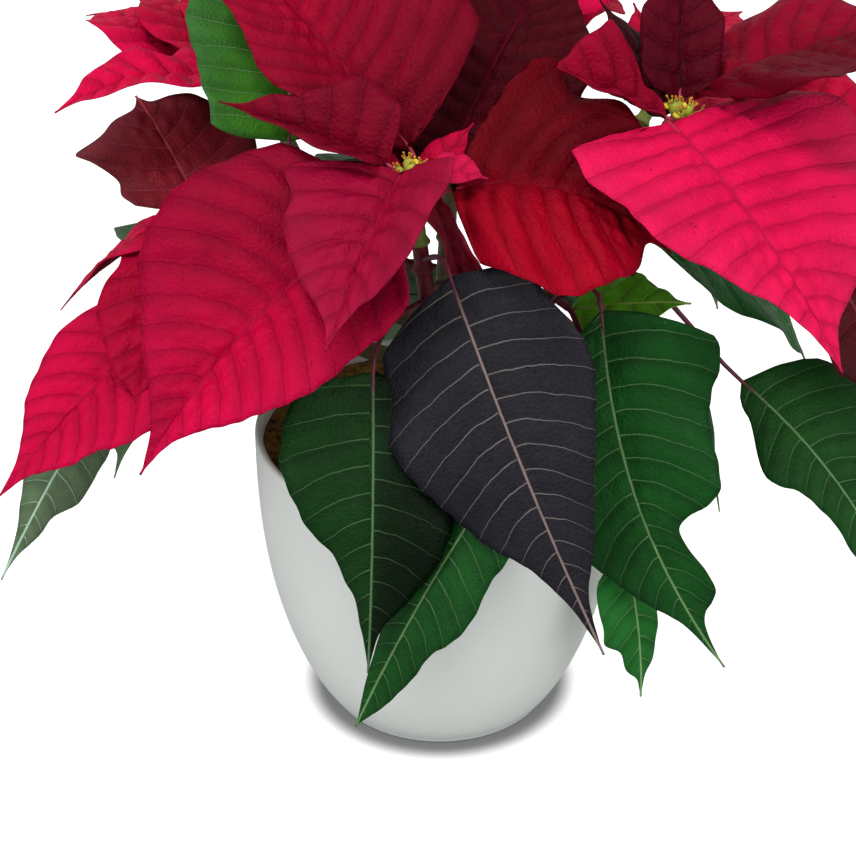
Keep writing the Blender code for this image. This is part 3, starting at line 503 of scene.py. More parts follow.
# Green leaves of each shoot; up is how far along the shoot the stalk starts
leaves = {
    "front": {
        "dark": blade(
            (0.0031, -0.0541, 0.2094), (0.0569, -0.1071, 0.0881), 0.0721, 22, 54, 8, up=0.9, start=0.12,
            lean=80, skew=-0.08, sway=-0.0063,
            lobes=edges((-0.11, 0.14, 0.04, -0.02, -0.03), (-0.1, 0.09, 0.04, 0.05, -0.18)),
        ),
        "deep_green": blade(
            (-0.0237, -0.06, 0.1749), (-0.026, -0.094, 0.0707), 0.0591, 36, -16, 8, up=0.6, start=0.1,
            lean=84, skew=0.07, sway=0.0014,
            lobes=edges((-0.12, 0.0, 0.09, 0.14, 0.11), (0.09, 0.2, 0.07, -0.25, -0.4)),
        ),
        "low_left": blade(
            (0.021, -0.0726, 0.1411), (-0.0309, -0.0866, 0.041), 0.0344, 30, -39, 8, up=0.3, lean=75,
            skew=0.3, sway=0.0047, late=1.2, drip=0,
            lobes=edges((0.04, -0.17, -0.03, -0.21, -0.11), (0.0, 0.0, 0.0, 0.05, -0.03)),
        ),
        "upper_left": blade(
            (-0.0547, 0.0109, 0.2302), (-0.0811, 0.1155, 0.2879), 0.0804, 26, 6, 12, up=0.8, start=0.2,
            lean=90, skew=0.03, sway=-0.0067,
            lobes=edges((-0.27, -0.12, 0.11, 0.05, 0.0), (-0.04, 0.0, 0.0, 0.0, 0.0)),
        ),
    },
    "right": {
        "lobed": blade(
            (0.0563, -0.0429, 0.1901), (0.1037, -0.0758, 0.0599), 0.065, 18, 58, 8, up=0.3, start=0.1,
            lean=70, skew=-0.06, sway=-0.0147,
            lobes=edges((0.41, 0.05, 0.19, -0.45, 0.25), (-0.45, -0.01, 0.17, 0.01, -0.02)),
        ),
        "low_small": blade(
            (0.0675, -0.0503, 0.0956), (0.0756, -0.0562, 0.032), 0.0309, 24, 18, 8, up=0.45, lean=75,
            skew=-0.03, sway=-0.0014,
            lobes=edges((0.0, -0.01, -0.26, -0.21, 0.07), (0.0, 0.03, 0.15, -0.19, 0.07)),
        ),
        "bright_small": blade(
            (0.0485, -0.0005, 0.1672), (0.0902, -0.0198, 0.1803), 0.0315, 14, 25, 10, up=0.45, lean=74,
            skew=-0.02, sway=-0.0001,
            lobes=edges((-0.1, -0.02, -0.03, -0.25, -0.08), (0.12, -0.27, -0.17, -0.03, -0.07)),
        ),
        "far_right": blade(
            (0.1127, -0.003, 0.1383), (0.1747, -0.0354, 0.0613), 0.042, 30, 36, 8, up=0.6, lean=74,
            skew=0.19, sway=0.0008,
            lobes=edges((0.18, 0.36, 0.0, 0.0, 0.0), (-0.45, 0.26, -0.11, -0.12, 0.46)),
        ),
        "edge_dark": blade(
            (0.147, 0.0, 0.177), (0.167, -0.02, 0.132), 0.036, 36, 20, 10, up=0.9,
        ),
    },
    "left": {
        "narrow": blade(
            (-0.128, -0.0152, 0.1347), (-0.1631, -0.0452, 0.0776), 0.0249, 26, -39, 14, up=0.3, lean=80,
            skew=0.19, sway=0.002,
            lobes=edges((0.01, -0.07, 0.04, -0.27, -0.1), (0.0, 0.0, 0.15, 0.01, -0.22)),
        ),
        "dusky": blade(
            (-0.0905, 0.0361, 0.1908), (-0.1166, 0.0757, 0.2192), 0.0637, 26, -10, 10, up=0.9, lean=78,
            sway=0.0003, lobes=edges((-0.15, -0.26, 0.24, 0.0, 0.0), (0.01, 0.0, 0.0, 0.0, 0.0)),
        ),
    },
    "back_left": {},
    "back": {},
    "back_right": {},
}

# Rings of further green leaves by rule, given like the bracts' rings
leafTiers = {
    "left": [((166,), 0.5, 0.034, 0.084, 0.054, -44, 56)],
    "back_left": [
        ((136, 170), 0.6, 0.036, 0.104, 0.066, -44, 56),
        ((96,), 0.3, 0.036, 0.1, 0.06, -58, 56),
    ],
    "back": [
        ((104, 76), 0.6, 0.036, 0.106, 0.068, -44, 56),
        ((90,), 0.3, 0.036, 0.1, 0.06, -62, 56),
    ],
    "back_right": [
        ((14, 48), 0.6, 0.036, 0.104, 0.066, -46, 56),
        ((-4, 38), 0.3, 0.04, 0.096, 0.058, -58, 56),
    ],
}


def geometryTree(name, inputs):
    # an empty tree with the mesh it works on and its named values as inputs
    tree = bpy.data.node_groups.new(name, "GeometryNodeTree")
    for label, kind in (("Geometry", "Geometry"), *inputs):
        tree.interface.new_socket(label, in_out="INPUT", socket_type="NodeSocket" + kind)
    tree.interface.new_socket("Geometry", in_out="OUTPUT", socket_type="NodeSocketGeometry")
    add = functools.partial(addNode, tree)
    return tree, add, add("NodeGroupInput").outputs


def endTree(tree, geometry, materials):
    # the last two steps of every tree: real geometry, then its materials by the "kind" of each part
    add = functools.partial(addNode, tree)
    whole = add("GeometryNodeRealizeInstances", {"Geometry": geometry})
    kind = add("GeometryNodeInputNamedAttribute", {"Name": "kind"}, data_type="INT")
    for number, material in enumerate(materials):
        chosen = add("FunctionNodeCompare", {2: kind, 3: number}, data_type="INT", operation="EQUAL")
        whole = add("GeometryNodeSetMaterial", {
            "Geometry": whole, "Selection": chosen, "Material": material})
    add("NodeGroupOutput", {0: whole})
    return tree


def shapedMesh(name, mesh, tree, values):
    # runs a tree on a mesh and keeps the result as plain geometry
    work = bpy.data.objects.new(name, mesh)
    bpy.context.scene.collection.objects.link(work)
    modifier = work.modifiers.new("Shape", "NODES")
    modifier.node_group = tree
    for socket in tree.interface.items_tree:
        if socket.in_out == "INPUT" and socket.name in values:
            modifier[socket.identifier] = values[socket.name]
    bpy.context.view_layer.update()
    made = bpy.data.meshes.new_from_object(work.evaluated_get(bpy.context.evaluated_depsgraph_get()))
    work.modifiers.clear()
    work.data = made
    made.name = name
    made.shade_smooth()
    return work


def lineMesh(name, points, **extra):
    mesh = bpy.data.meshes.new(name)
    mesh.from_pydata([tuple(point) for point in points], [(i, i + 1) for i in range(len(points) - 1)], [])
    for key, values in extra.items():
        mesh.attributes.new(key, "FLOAT", "POINT").data.foreach_set("value", list(map(float, values)))
    return mesh


potShape = {
    "height": 0.118, "rimRadius": 0.070, "footRadius": 0.042, "wall": 0.0028, "base": 0.0055,
    "belly": 2.5, "shoulder": 1.2,
    "rows": 64, "crowding": 1.3, "segments": 192, "lipSteps": 9,  # crowding: rows stand closer by the foot
    "footRound": 0.0016, "footFlat": 0.034, "innerFlat": 0.030, "innerRound": 0.003,
}


def potRadius(z):
    s = z / potShape["height"]
    swell = (1 - (1 - s) ** potShape["belly"]) ** (1 / potShape["shoulder"])
    return potShape["footRadius"] + (potShape["rimRadius"] - potShape["footRadius"]) * swell


def lipLine(start, end, side):
    # a quarter of the rounded lip, on the outer or the inner side
    lip, height = potShape["wall"] / 2, potShape["height"]
    return [(potShape["rimRadius"] - lip + side * lip * math.sin(a), height - lip + lip * math.cos(a))
            for a in np.linspace(start, end, potShape["lipSteps"])]


def potProfile():
    # down the outside, under the foot and up the inside, as pairs of radius and height
    height, wall, base, turn = (potShape[key] for key in ("height", "wall", "base", "footRound"))
    steps = [1 - k / potShape["rows"] for k in range(1, potShape["rows"])]
    levels = [height * step ** potShape["crowding"] for step in steps]
    levels = [z for z in levels if wall * 0.3 < height - z < height - 0.002]
    line = lipLine(0, math.pi / 2, 1) + [(potRadius(z), z) for z in levels]
    line += [(potRadius(turn) - turn + turn * math.cos(a), turn - turn * math.sin(a))
             for a in np.linspace(0.15, math.pi / 2, 7)]
    line += [(potShape["footFlat"], 0.0), (0.0, 0.0), (0.0, base), (potShape["innerFlat"], base)]
    line += [(potRadius(base) - wall - potShape["innerRound"], base + 0.0004)]
    line += [(potRadius(z) - wall, z) for z in reversed(levels) if z > base + potShape["innerRound"]]
    return line + lipLine(math.pi / 2, 0, -1)


def turnedTree(name, materials):
    # turns a profile line about the Z axis: a sheet whose every row takes one point of the line
    tree, add, given = geometryTree(name, (("Segments", "Int"), ("Rows", "Int")))
    columns = add("ShaderNodeMath", {0: given["Segments"], 1: 1.0}, operation="ADD")
    sheet = add("GeometryNodeMeshGrid", {
        "Size X": 1.0, "Size Y": 1.0, "Vertices X": columns, "Vertices Y": given["Rows"]})
    position = add("GeometryNodeInputPosition")
    spot = add("ShaderNodeSeparateXYZ", {0: position})
    along = add("ShaderNodeMath", {0: spot.outputs["Y"], 1: 0.5}, operation="ADD")
    last = add("ShaderNodeMath", {0: given["Rows"], 1: -1.0}, operation="ADD")
    rank = add("ShaderNodeMath", {0: along, 1: last}, operation="MULTIPLY")
    row = add("ShaderNodeMath", {0: rank}, operation="ROUND")
    sample = add("GeometryNodeSampleIndex", {
        "Geometry": given["Geometry"], "Value": position, "Index": row}, data_type="FLOAT_VECTOR")
    point = add("ShaderNodeSeparateXYZ", {0: sample})
    turn = add("ShaderNodeMath", {0: spot.outputs["X"], 1: 2 * math.pi}, operation="MULTIPLY")
    ends = {"Z": point.outputs["Z"]}
    for axis, wave in (("X", "COSINE"), ("Y", "SINE")):
        part = add("ShaderNodeMath", {0: turn}, operation=wave)
        ends[axis] = add("ShaderNodeMath", {0: part, 1: point.outputs["X"]}, operation="MULTIPLY")
    place = add("ShaderNodeCombineXYZ", ends)
    moved = add("GeometryNodeSetPosition", {"Geometry": sheet, "Position": place})
    closed = add("GeometryNodeMergeByDistance", {"Geometry": moved, "Distance": 0.00001})
    return endTree(tree, closed, materials)


def turnedMesh(name, line, material, segments):
    profile = lineMesh(name + " profile", [(r, 0.0, z) for r, z in line])
    return shapedMesh(name, profile, turnedTree("turned " + name, [material]), {
        "Segments": segments, "Rows": len(line)})


# white glazed stoneware, cast and fired: a satin skin with broad soft highlights and hardly any texture
glazeLook = {
    "low": "#e8eeea", "high": "#eff3ef", "cloud": 28.0, "glossy": 0.36, "dull": 0.46,
    "orangePeel": 420.0, "bump": 0.05, "bumpHeight": 0.0002,
}
glaze, add, spot = newMaterial("white glazed stoneware, cast")
cloud = add("ShaderNodeTexNoise", {"Vector": spot, "Scale": glazeLook["cloud"], "Detail": 3.0})
white = add("ShaderNodeMix", {
    0: cloud, 6: (*linear(glazeLook["low"]), 1), 7: (*linear(glazeLook["high"]), 1)}, data_type="RGBA")
peel = add("ShaderNodeTexNoise", {"Vector": spot, "Scale": glazeLook["orangePeel"], "Detail": 2.0})
relief = add("ShaderNodeBump", {
    "Strength": glazeLook["bump"], "Distance": glazeLook["bumpHeight"], "Height": peel})
gloss = add("ShaderNodeMapRange", {
    "Value": cloud, "To Min": glazeLook["glossy"], "To Max": glazeLook["dull"]})
shader = add("ShaderNodeBsdfPrincipled", {
    "Base Color": white, "Roughness": gloss, "IOR": 1.5, "Normal": relief})
add("ShaderNodeOutputMaterial", {"Surface": shader})

pot = turnedMesh("glazedPot", potProfile(), glaze, potShape["segments"])
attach(pot, "root")
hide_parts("pot")
print("pot turned,", len(pot.data.polygons), "faces")

soilShape = {
    "edge": 0.1115, "mound": 0.003, "relief": 0.0012, "rough": 0.0005, "gap": 0.0003,
    "lumps": (410, 370, 190, 260), "grains": (1900, 1500, 1700, 1300),  # waves of the relief, per metre
    "rings": 72, "segments": 240, "wallRows": 14, "hole": 0.0071, "holeFoot": 0.0777,
    "topMargin": 0.0035, "topSlope": 0.3,  # what counts as the top, where things are strewn
    "crumbsPerM2": 95000.0, "crumb": 0.0009, "crumbRough": 0.0014, "crumbGrain": 900.0,
    "fibresPerM2": 90000.0, "fibre": 0.00024,
    "fibreLine": ((-0.0038, 0.0, 0.0002), (0.0005, 0.0022, 0.0022), (0.0042, -0.0006, 0.0)),
    "seed": 11,
}


def soilHeight(x, y):
    r = math.hypot(x, y) / potShape["rimRadius"]
    a, b, c, d = soilShape["lumps"]
    lumps = math.sin(x * a + 1.3) * math.cos(y * b - 0.4) + 0.7 * math.sin(x * c - y * d + 2.0)
    a, b, c, d = soilShape["grains"]
    rough = math.sin(x * a + 3 * math.sin(y * b)) * math.cos(y * c - 2 * math.sin(x * d))
    level = soilShape["edge"] + soilShape["mound"] * (1 - r * r)
    return level + (soilShape["relief"] * lumps + soilShape["rough"] * rough) * min(1.0, 6 * (1 - r))


# potting soil: crumbly peat, nearly black in the low places of its grain and gold-brown on the high ones
peat = grainyMaterial(
    "potting peat, crumbly", {"Scale": 380.0, "Detail": 5.0, "Roughness": 0.7},
    ((0.35, "#241608"), (0.72, "#b0843a")), roughness=0.92, ior=1.45, specular=0.25,
    bump={"Strength": 0.9, "Distance": 0.0008})

# coir and moss fibres: dry, stringy, straw to gold-brown, each with a tone of its own
coirLook = {
    "stops": ((0.0, "#a87a2c"), (0.55, "#e8bc50"), (1.0, "#ffe38c")),
    "streak": 900.0, "streakShare": 0.35, "roughness": 0.7, "specular": 0.35,
}
coir, add, spot = newMaterial("coir fibre, dry")
tone = add("ShaderNodeAttribute", attribute_name="tone")
streak = add("ShaderNodeTexNoise", {"Vector": spot, "Scale": coirLook["streak"], "Detail": 2.0})
mixed = add("ShaderNodeMath", {0: streak, 1: coirLook["streakShare"], 2: tone.outputs["Fac"]},
            operation="MULTIPLY_ADD")
shader = add("ShaderNodeBsdfPrincipled", {
    "Base Color": colourRamp(add, mixed, coirLook["stops"]), "Roughness": coirLook["roughness"],
    "Specular IOR Level": coirLook["specular"]})
add("ShaderNodeOutputMaterial", {"Surface": shader})


def crumbShape(add):
    # a ball pushed out of round by a noise
    ball = add("GeometryNodeMeshIcoSphere", {"Radius": soilShape["crumb"], "Subdivisions": 2})
    jitter = add("ShaderNodeTexNoise", {
        "Vector": add("GeometryNodeInputPosition"), "Scale": soilShape["crumbGrain"], "Detail": 2.0})
    centred = add("ShaderNodeVectorMath", {0: jitter.outputs["Color"], 1: (0.5, 0.5, 0.5)},
                  operation="SUBTRACT")
    push = add("ShaderNodeVectorMath", {0: centred, "Scale": soilShape["crumbRough"]}, operation="SCALE")
    return add("GeometryNodeSetPosition", {"Geometry": ball, "Offset": push})


def fibreShape(add):
    start, middle, end = soilShape["fibreLine"]
    strand = add("GeometryNodeCurveQuadraticBezier", {
        "Resolution": 7, "Start": start, "Middle": middle, "End": end})
    section = add("GeometryNodeCurvePrimitiveCircle", {"Resolution": 4, "Radius": soilShape["fibre"]})
    return add("GeometryNodeCurveToMesh", {
        "Curve": strand, "Profile Curve": section, "Fill Caps": True})


def soilTree():
    # the turned fill, with crumbs and fibres strewn over its top
    tree, add, given = geometryTree("strewn soil", (
        ("Crumbs", "Float"), ("Fibres", "Float"), ("Seed", "Int")))
    both = []
    for source, least in (("GeometryNodeInputPosition", soilShape["edge"] - soilShape["topMargin"]),
                          ("GeometryNodeInputNormal", soilShape["topSlope"])):
        parts = add("ShaderNodeSeparateXYZ", {0: add(source)})
        both.append(add("FunctionNodeCompare", {0: parts.outputs["Z"], 1: least},
                        data_type="FLOAT", operation="GREATER_THAN"))
    top = add("FunctionNodeBooleanMath", {0: both[0], 1: both[1]}, operation="AND")
    layers = [given["Geometry"]]
    # for each kind: its density, its shape, the least and most size and how far it may tip over
    kinds = (("Crumbs", crumbShape, 0.35, 1.5, math.pi), ("Fibres", fibreShape, 0.4, 1.35, 0.5))
    for number, (density, form, least, most, tip) in enumerate(kinds):
        seed = add("ShaderNodeMath", {0: given["Seed"], 1: 7.0 * number}, operation="ADD")
        points = add("GeometryNodeDistributePointsOnFaces", {
            "Mesh": given["Geometry"], "Selection": top, "Density": given[density], "Seed": seed})
        turned = add("FunctionNodeRandomValue", {
            "Min": (-tip, -tip, 0.0), "Max": (tip, tip, 2 * math.pi), "Seed": 3 + number},
            data_type="FLOAT_VECTOR")
        size = add("FunctionNodeRandomValue", {2: least, 3: most, "Seed": 5 + number}, data_type="FLOAT")
        strewn = add("GeometryNodeInstanceOnPoints", {
            "Points": points, "Instance": form(add), "Rotation": turned, "Scale": size})
        tone = add("FunctionNodeRandomValue", {2: 0.0, 3: 0.75, "Seed": 9 + number}, data_type="FLOAT")
        for label, kind, value in (("tone", "FLOAT", tone), ("kind", "INT", number)):
            strewn = add("GeometryNodeStoreNamedAttribute", {
                "Geometry": strewn, "Name": label, "Value": value}, data_type=kind, domain="INSTANCE")
        layers.append(strewn)
    return endTree(tree, add("GeometryNodeJoinGeometry", {0: layers}), [peat, coir])


def soilMesh():
    level, inside = soilShape["edge"], potShape["wall"] + soilShape["gap"]
    foot = potShape["base"] + soilShape["gap"]
    line = [(0.0, soilShape["holeFoot"]), (soilShape["hole"], soilShape["holeFoot"])]
    line += [(r, level) for r in np.linspace(
        soilShape["hole"], potRadius(level) - inside, soilShape["rings"])]
    line += [(potRadius(z) - inside, z) for z in np.linspace(
        level - 0.004, foot + 0.004, soilShape["wallRows"])]
    line += [(potRadius(foot) - inside - 0.003, foot), (0.0, foot)]
    made = turnedMesh("soil fill", line, peat, soilShape["segments"])
    for vertex in made.data.vertices:
        if abs(vertex.co.z - level) < 1e-5:
            vertex.co.z = soilHeight(vertex.co.x, vertex.co.y)
    mesh = made.data
    bpy.data.objects.remove(made)
    return mesh


soil = shapedMesh("pottingSoil", soilMesh(), soilTree(), {
    "Crumbs": soilShape["crumbsPerM2"], "Fibres": soilShape["fibresPerM2"], "Seed": soilShape["seed"]})
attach(soil, "root")
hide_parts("soil")
print("soil strewn,", len(soil.data.polygons), "faces")


skinDetail = {
    "wobble": 90.0, "wobbleShare": 0.30, "wobbleShift": 0.35,  # how side veins stray from their line
    "edgeThin": 0.25, "veinCore": 0.35, "ribCore": 0.4,  # how veins thin out and how sharp they are
    "netWidth": 0.09, "blotch": 55.0, "blotchRough": 0.62,
    "grainRise": 0.5, "netRise": 1.6, "veinRise": -0.5, "bumpHeight": 0.0004, "ior": 1.42,
}


def skinMaterial(name, look):
    # living leaf tissue: a waxy skin over soft flesh, with sunk veins and a fine net between them
    material, add, spot = newMaterial(name)
    detail = skinDetail
    tint, veinTint, place = (add("ShaderNodeAttribute", attribute_name=layer)
                             for layer in ("tint", "vein", "place"))
    axes = add("ShaderNodeSeparateXYZ", {0: place.outputs["Vector"]})
    across = add("ShaderNodeMath", {0: axes.outputs["X"]}, operation="ABSOLUTE")
    fromRib = add("ShaderNodeMath", {0: axes.outputs["Z"]}, operation="ABSOLUTE")
    # side veins run where the second coordinate is a whole number; they thin out towards the edge
    wobble = add("ShaderNodeTexNoise", {"Vector": spot, "Scale": detail["wobble"], "Detail": 3.0})
    nearVein = add("ShaderNodeMath", {0: wobble, 1: detail["wobbleShare"], 2: axes.outputs["Y"]},
                   operation="MULTIPLY_ADD")
    steps = (("ADD", detail["wobbleShift"]), ("FRACT", 0.0), ("SUBTRACT", 0.5), ("ABSOLUTE", 0.0))
    for operation, amount in steps:
        nearVein = add("ShaderNodeMath", {0: nearVein, 1: amount}, operation=operation)
    thin = add("ShaderNodeMapRange", {
        "Value": across, "To Min": look["veinWidth"], "To Max": look["veinWidth"] * detail["edgeThin"]})
    line = add("ShaderNodeMath", {0: nearVein, 1: thin}, operation="DIVIDE")
    sideVein = add("ShaderNodeMapRange", {"Value": line, "From Min": 1.0, "From Max": detail["veinCore"]},
                   interpolation_type="SMOOTHSTEP")
    rib = add("ShaderNodeMapRange", {
        "Value": fromRib, "From Min": look["ribWidth"], "From Max": look["ribWidth"] * detail["ribCore"]},
        interpolation_type="SMOOTHSTEP")
    # the net of small veins, about 2 mm apart
    net = add("ShaderNodeTexVoronoi", {"Vector": spot, "Scale": look["net"]}, feature="DISTANCE_TO_EDGE")
    netLine = add("ShaderNodeMapRange", {
        "Value": net, "From Min": detail["netWidth"], "From Max": 0.0, "To Max": look["netShow"]})
    veins = add("ShaderNodeMath", {0: sideVein, 1: look["veinShow"]}, operation="MULTIPLY")
    for other in (netLine, rib):
        veins = add("ShaderNodeMath", {0: veins, 1: other}, operation="MAXIMUM")
    blotch = add("ShaderNodeTexNoise", {
        "Vector": spot, "Scale": detail["blotch"], "Detail": 4.0, "Roughness": detail["blotchRough"]})
    bright = add("ShaderNodeMapRange", {
        "Value": blotch, "From Min": 0.25, "From Max": 0.75,
        "To Min": look["darkest"], "To Max": look["lightest"]})
    skin = add("ShaderNodeVectorMath", {0: tint, "Scale": bright}, operation="SCALE")
    colour = add("ShaderNodeMix", {0: veins, 6: skin, 7: veinTint}, data_type="RGBA")
    grain = add("ShaderNodeTexNoise", {"Vector": spot, "Scale": look["grain"], "Detail": 3.0})
    height = add("ShaderNodeMath", {0: grain, 1: detail["grainRise"]}, operation="MULTIPLY")
    for part, rise in ((net, "netRise"), (sideVein, "veinRise")):
        height = add("ShaderNodeMath", {0: part, 1: detail[rise], 2: height}, operation="MULTIPLY_ADD")
    bump = add("ShaderNodeBump", {
        "Strength": look["bump"], "Distance": detail["bumpHeight"], "Height": height})
    shader = add("ShaderNodeBsdfPrincipled", {
        "Base Color": colour, "Roughness": look["roughness"], "IOR": detail["ior"],
        "Specular IOR Level": look["specular"], "Normal": bump})
    through = add("ShaderNodeBsdfTranslucent", {"Color": colour, "Normal": bump})
    mixed = add("ShaderNodeMixShader", {0: look["through"], 1: shader, 2: through})
    add("ShaderNodeOutputMaterial", {"Surface": mixed})
    return material


bractSkin = {
    "veinWidth": 0.10, "veinShow": 0.45, "ribWidth": 0.8, "net": 420.0, "netShow": 0.10, "grain": 900.0,
    "darkest": 0.80, "lightest": 1.14, "bump": 0.9, "roughness": 0.55, "specular": 0.09, "through": 0.12,
}
leafSkin = {
    "veinWidth": 0.045, "veinShow": 0.6, "ribWidth": 0.62, "net": 520.0, "netShow": 0.03, "grain": 900.0,
    "darkest": 0.66, "lightest": 1.28, "bump": 0.7, "roughness": 0.45, "specular": 0.13, "through": 0.06,
}
bractUpper = skinMaterial("poinsettia bract skin, velvety", bractSkin)
bractUnder = skinMaterial("poinsettia bract underside, dull", dict(
    bractSkin, roughness=0.62, specular=0.08, veinShow=0.4, bump=0.5))
leafUpper = skinMaterial("poinsettia leaf skin, waxy", leafSkin)
leafUnder = skinMaterial("poinsettia leaf underside, dull", dict(
    leafSkin, roughness=0.62, specular=0.15, bump=0.25))

# soft green and red stem skin: each stem's own colour, faintly streaked, with a dull shine
greenStem, add, spot = newMaterial("poinsettia stem skin, soft")
tint = add("ShaderNodeAttribute", attribute_name="tint")
blotch = add("ShaderNodeTexNoise", {"Vector": spot, "Scale": 260.0, "Detail": 3.0})
bright = add("ShaderNodeMapRange", {
    "Value": blotch, "From Min": 0.3, "From Max": 0.7, "To Min": 0.8, "To Max": 1.2})
skin = add("ShaderNodeVectorMath", {0: tint, "Scale": bright}, operation="SCALE")
bump = add("ShaderNodeBump", {"Strength": 0.2, "Distance": 0.0002, "Height": blotch})
shader = add("ShaderNodeBsdfPrincipled", {"Base Color": skin, "Roughness": 0.45, "IOR": 1.42, "Normal": bump})
add("ShaderNodeOutputMaterial", {"Surface": shader})

# bark: grey-brown, dry and finely cracked along the stem
bark = grainyMaterial(
    "poinsettia bark, dry", {"Scale": 520.0, "Detail": 4.0}, ((0.0, "#4a3a26"), (1.0, "#a08a62")),
    roughness=0.8, ior=1.45, bump={"Strength": 0.6, "Distance": 0.0004}, stretch=(1.0, 1.0, 0.35))

stemShape = {
    "gap": 0.0003, "trunkRadius": 0.0062, "trunkFoot": 0.078, "trunkTop": 0.150,
    "shootRadius": 0.0031, "forkLength": 0.20, "hubLength": 0.026, "hubRadius": 0.0027,
    "petioleRadius": 0.0013, "petioleEnd": 0.5, "petioleBract": 0.85,  # shares of the radius
    "step": 0.0012, "sides": 20, "scar": 0.0006, "scarSpacing": 0.021, "scarSharp": 0.86,
}
stemColours = {
    "front": "#7c2030", "other": "#5f5a34", "wood": "#6b5638", "hub": "#8a9a44",
    "leafStalk": "#6a2238", "bractStalk": "#b4304c",
}


def shootPath(name):
    return (0.0, 0.004, shoots[name]["fork"]), shoots[name]["elbow"], shoots[name]["crown"]


def hubPoint(name, up):
    elbow, crown = shootPath(name)[1:]
    rise = stemShape["gap"] + stemShape["hubLength"] * up
    return np.asarray(crown) + unit(np.subtract(crown, elbow)) * rise


def tierShapes(origin, tier, chance):
    headings, up, stalkLength, length, width, pitch, bow = tier
    shapes = []
    for heading in headings:
        turn = math.radians(heading + chance.uniform(-5, 5))
        slope = math.radians(pitch + chance.uniform(-5, 5))
        size = chance.uniform(0.92, 1.08)
        out = np.array([math.cos(turn), math.sin(turn), 0.0])
        rise = math.radians(pitch + bow / 2)
        root = origin(up) + stalkLength * (out * math.cos(rise) + np.array([0, 0, math.sin(rise)]))
        tip = root + length * size * (out * math.cos(slope) + np.array([0, 0, math.sin(slope)]))
        more = dict(up=up, phase=chance.random(), twist=chance.uniform(-4, 8))
        shapes.append(blade(root, tip, width * size, bow, chance.uniform(6, 14), 12, **more))
    return shapes


def shapesOf(given, ruled, origin, seed):
    # the blades placed one by one, then those that follow a rule
    chance = random.Random(seed)
    shapes = dict(given)
    for ring, tier in enumerate(ruled):
        for k, shape in enumerate(tierShapes(origin, tier, chance)):
            shapes[f"ring{ring}_{k}"] = shape
    return shapes


def stemTree(materials):
    # a round stem along a line, with the joints where old leaves sat
    tree, add, given = geometryTree("stem along a line", (
        ("Step", "Float"), ("Sides", "Int"), ("Scar", "Float")))
    radius = add("GeometryNodeInputNamedAttribute", {"Name": "radius"}, data_type="FLOAT")
    line = add("GeometryNodeMeshToCurve", {"Mesh": given["Geometry"]})
    fine = add("GeometryNodeResampleCurve", {"Curve": line, "Length": given["Step"]}, mode="LENGTH")
    progress = add("GeometryNodeSplineParameter")
    beat = add("ShaderNodeMath", {
        0: progress.outputs["Length"], 1: 2 * math.pi / stemShape["scarSpacing"]}, operation="MULTIPLY")
    wave = add("ShaderNodeMath", {0: beat}, operation="COSINE")
    peak = add("ShaderNodeMapRange", {
        "Value": wave, "From Min": stemShape["scarSharp"], "From Max": 1.0, "To Max": given["Scar"]})
    thick = add("ShaderNodeMath", {0: radius, 1: peak}, operation="ADD")
    sized = add("GeometryNodeSetCurveRadius", {"Curve": fine, "Radius": thick})
    section = add("GeometryNodeCurvePrimitiveCircle", {"Resolution": given["Sides"], "Radius": 1.0})
    skin = add("GeometryNodeCurveToMesh", {"Curve": sized, "Profile Curve": section, "Fill Caps": True})
    if "Scale" in skin.inputs:
        tree.links.new(thick.outputs[0], skin.inputs["Scale"])
    return endTree(tree, skin, materials)


roundStem = stemTree([greenStem])


def stemPart(path, radii, slot, hexColour):
    # a stem made by its tree, given back as a part of a joined mesh
    work = shapedMesh("stem", lineMesh("stem line", path, radius=radii), roundStem, {
        "Step": stemShape["step"], "Sides": stemShape["sides"], "Scar": stemShape["scar"]})
    points = np.zeros(len(work.data.vertices) * 3)
    work.data.vertices.foreach_get("co", points)
    faces = [list(face.vertices) for face in work.data.polygons]
    bpy.data.objects.remove(work)
    return stemLike(points.reshape(-1, 3), faces, slot, hexColour)


def stalked(start, shape, radius, hexColour):
    path = petiolePath(np.asarray(start, float), shape)
    points, faces = tube(path, np.linspace(radius, radius * stemShape["petioleEnd"], len(path)))
    return stemLike(points, faces, 2, hexColour)


# skins: upper side, its edge, side veins, midrib and underside, then how puckered and how strong the painted
# shade in the furrows is
skins = {
    "crimson": ("#d2003e", "#d80648", "#a00030", "#b8083e", "#98082e", 1.9, 0.31),
    "crimson deep": ("#c00034", "#c8043c", "#880028", "#a00434", "#7c0828", 1.9, 0.31),
    "crimson pink": ("#dc0c4a", "#e21c56", "#a80636", "#c4144a", "#981438", 1.6, 0.31),
    "scarlet": ("#b40022", "#c00228", "#80001a", "#940220", "#70061c", 1.9, 0.31),
    # painted shade: a near-black red for bracts that sit in deep shade
    "maroon, painted shade": ("#5c0018", "#6c0420", "#34000e", "#440212", "#440616", 1.4, 0.12),
    "dusk": ("#a80430", "#b40c3a", "#700220", "#80082a", "#90102e", 1.4, 0.31),
    # painted shade and a painted sky reflection: dark blue-grey for a green leaf that hangs in shade
    "slate, painted shade": ("#32313a", "#2b2831", "#a39a93", "#a08a86", "#5a5e58", 0.6, 0.22),
    "bottle green": ("#184816", "#123c16", "#5e8a58", "#6c9462", "#6c8468", 0.6, 0.42),
    "mid green": ("#1a5c20", "#144e1c", "#6e9a64", "#7aa268", "#74906a", 0.6, 0.42),
    # painted light: a bright yellow-green for a small leaf that catches the light
    "bright green, painted light": ("#4a9018", "#3a7a16", "#98c05a", "#a4c864", "#8ab060", 1.0, 0.42),
    "rust green": ("#540c16", "#381418", "#7c2c38", "#8a343e", "#562a2e", 1.0, 0.12),
    "grey green": ("#384632", "#303e2c", "#84a08c", "#88a490", "#70887a", 0.6, 0.42),
    "two greens": ("#468a1c", "#34683a", "#86a874", "#88a876", "#70907a", 0.6, 0.42),
}


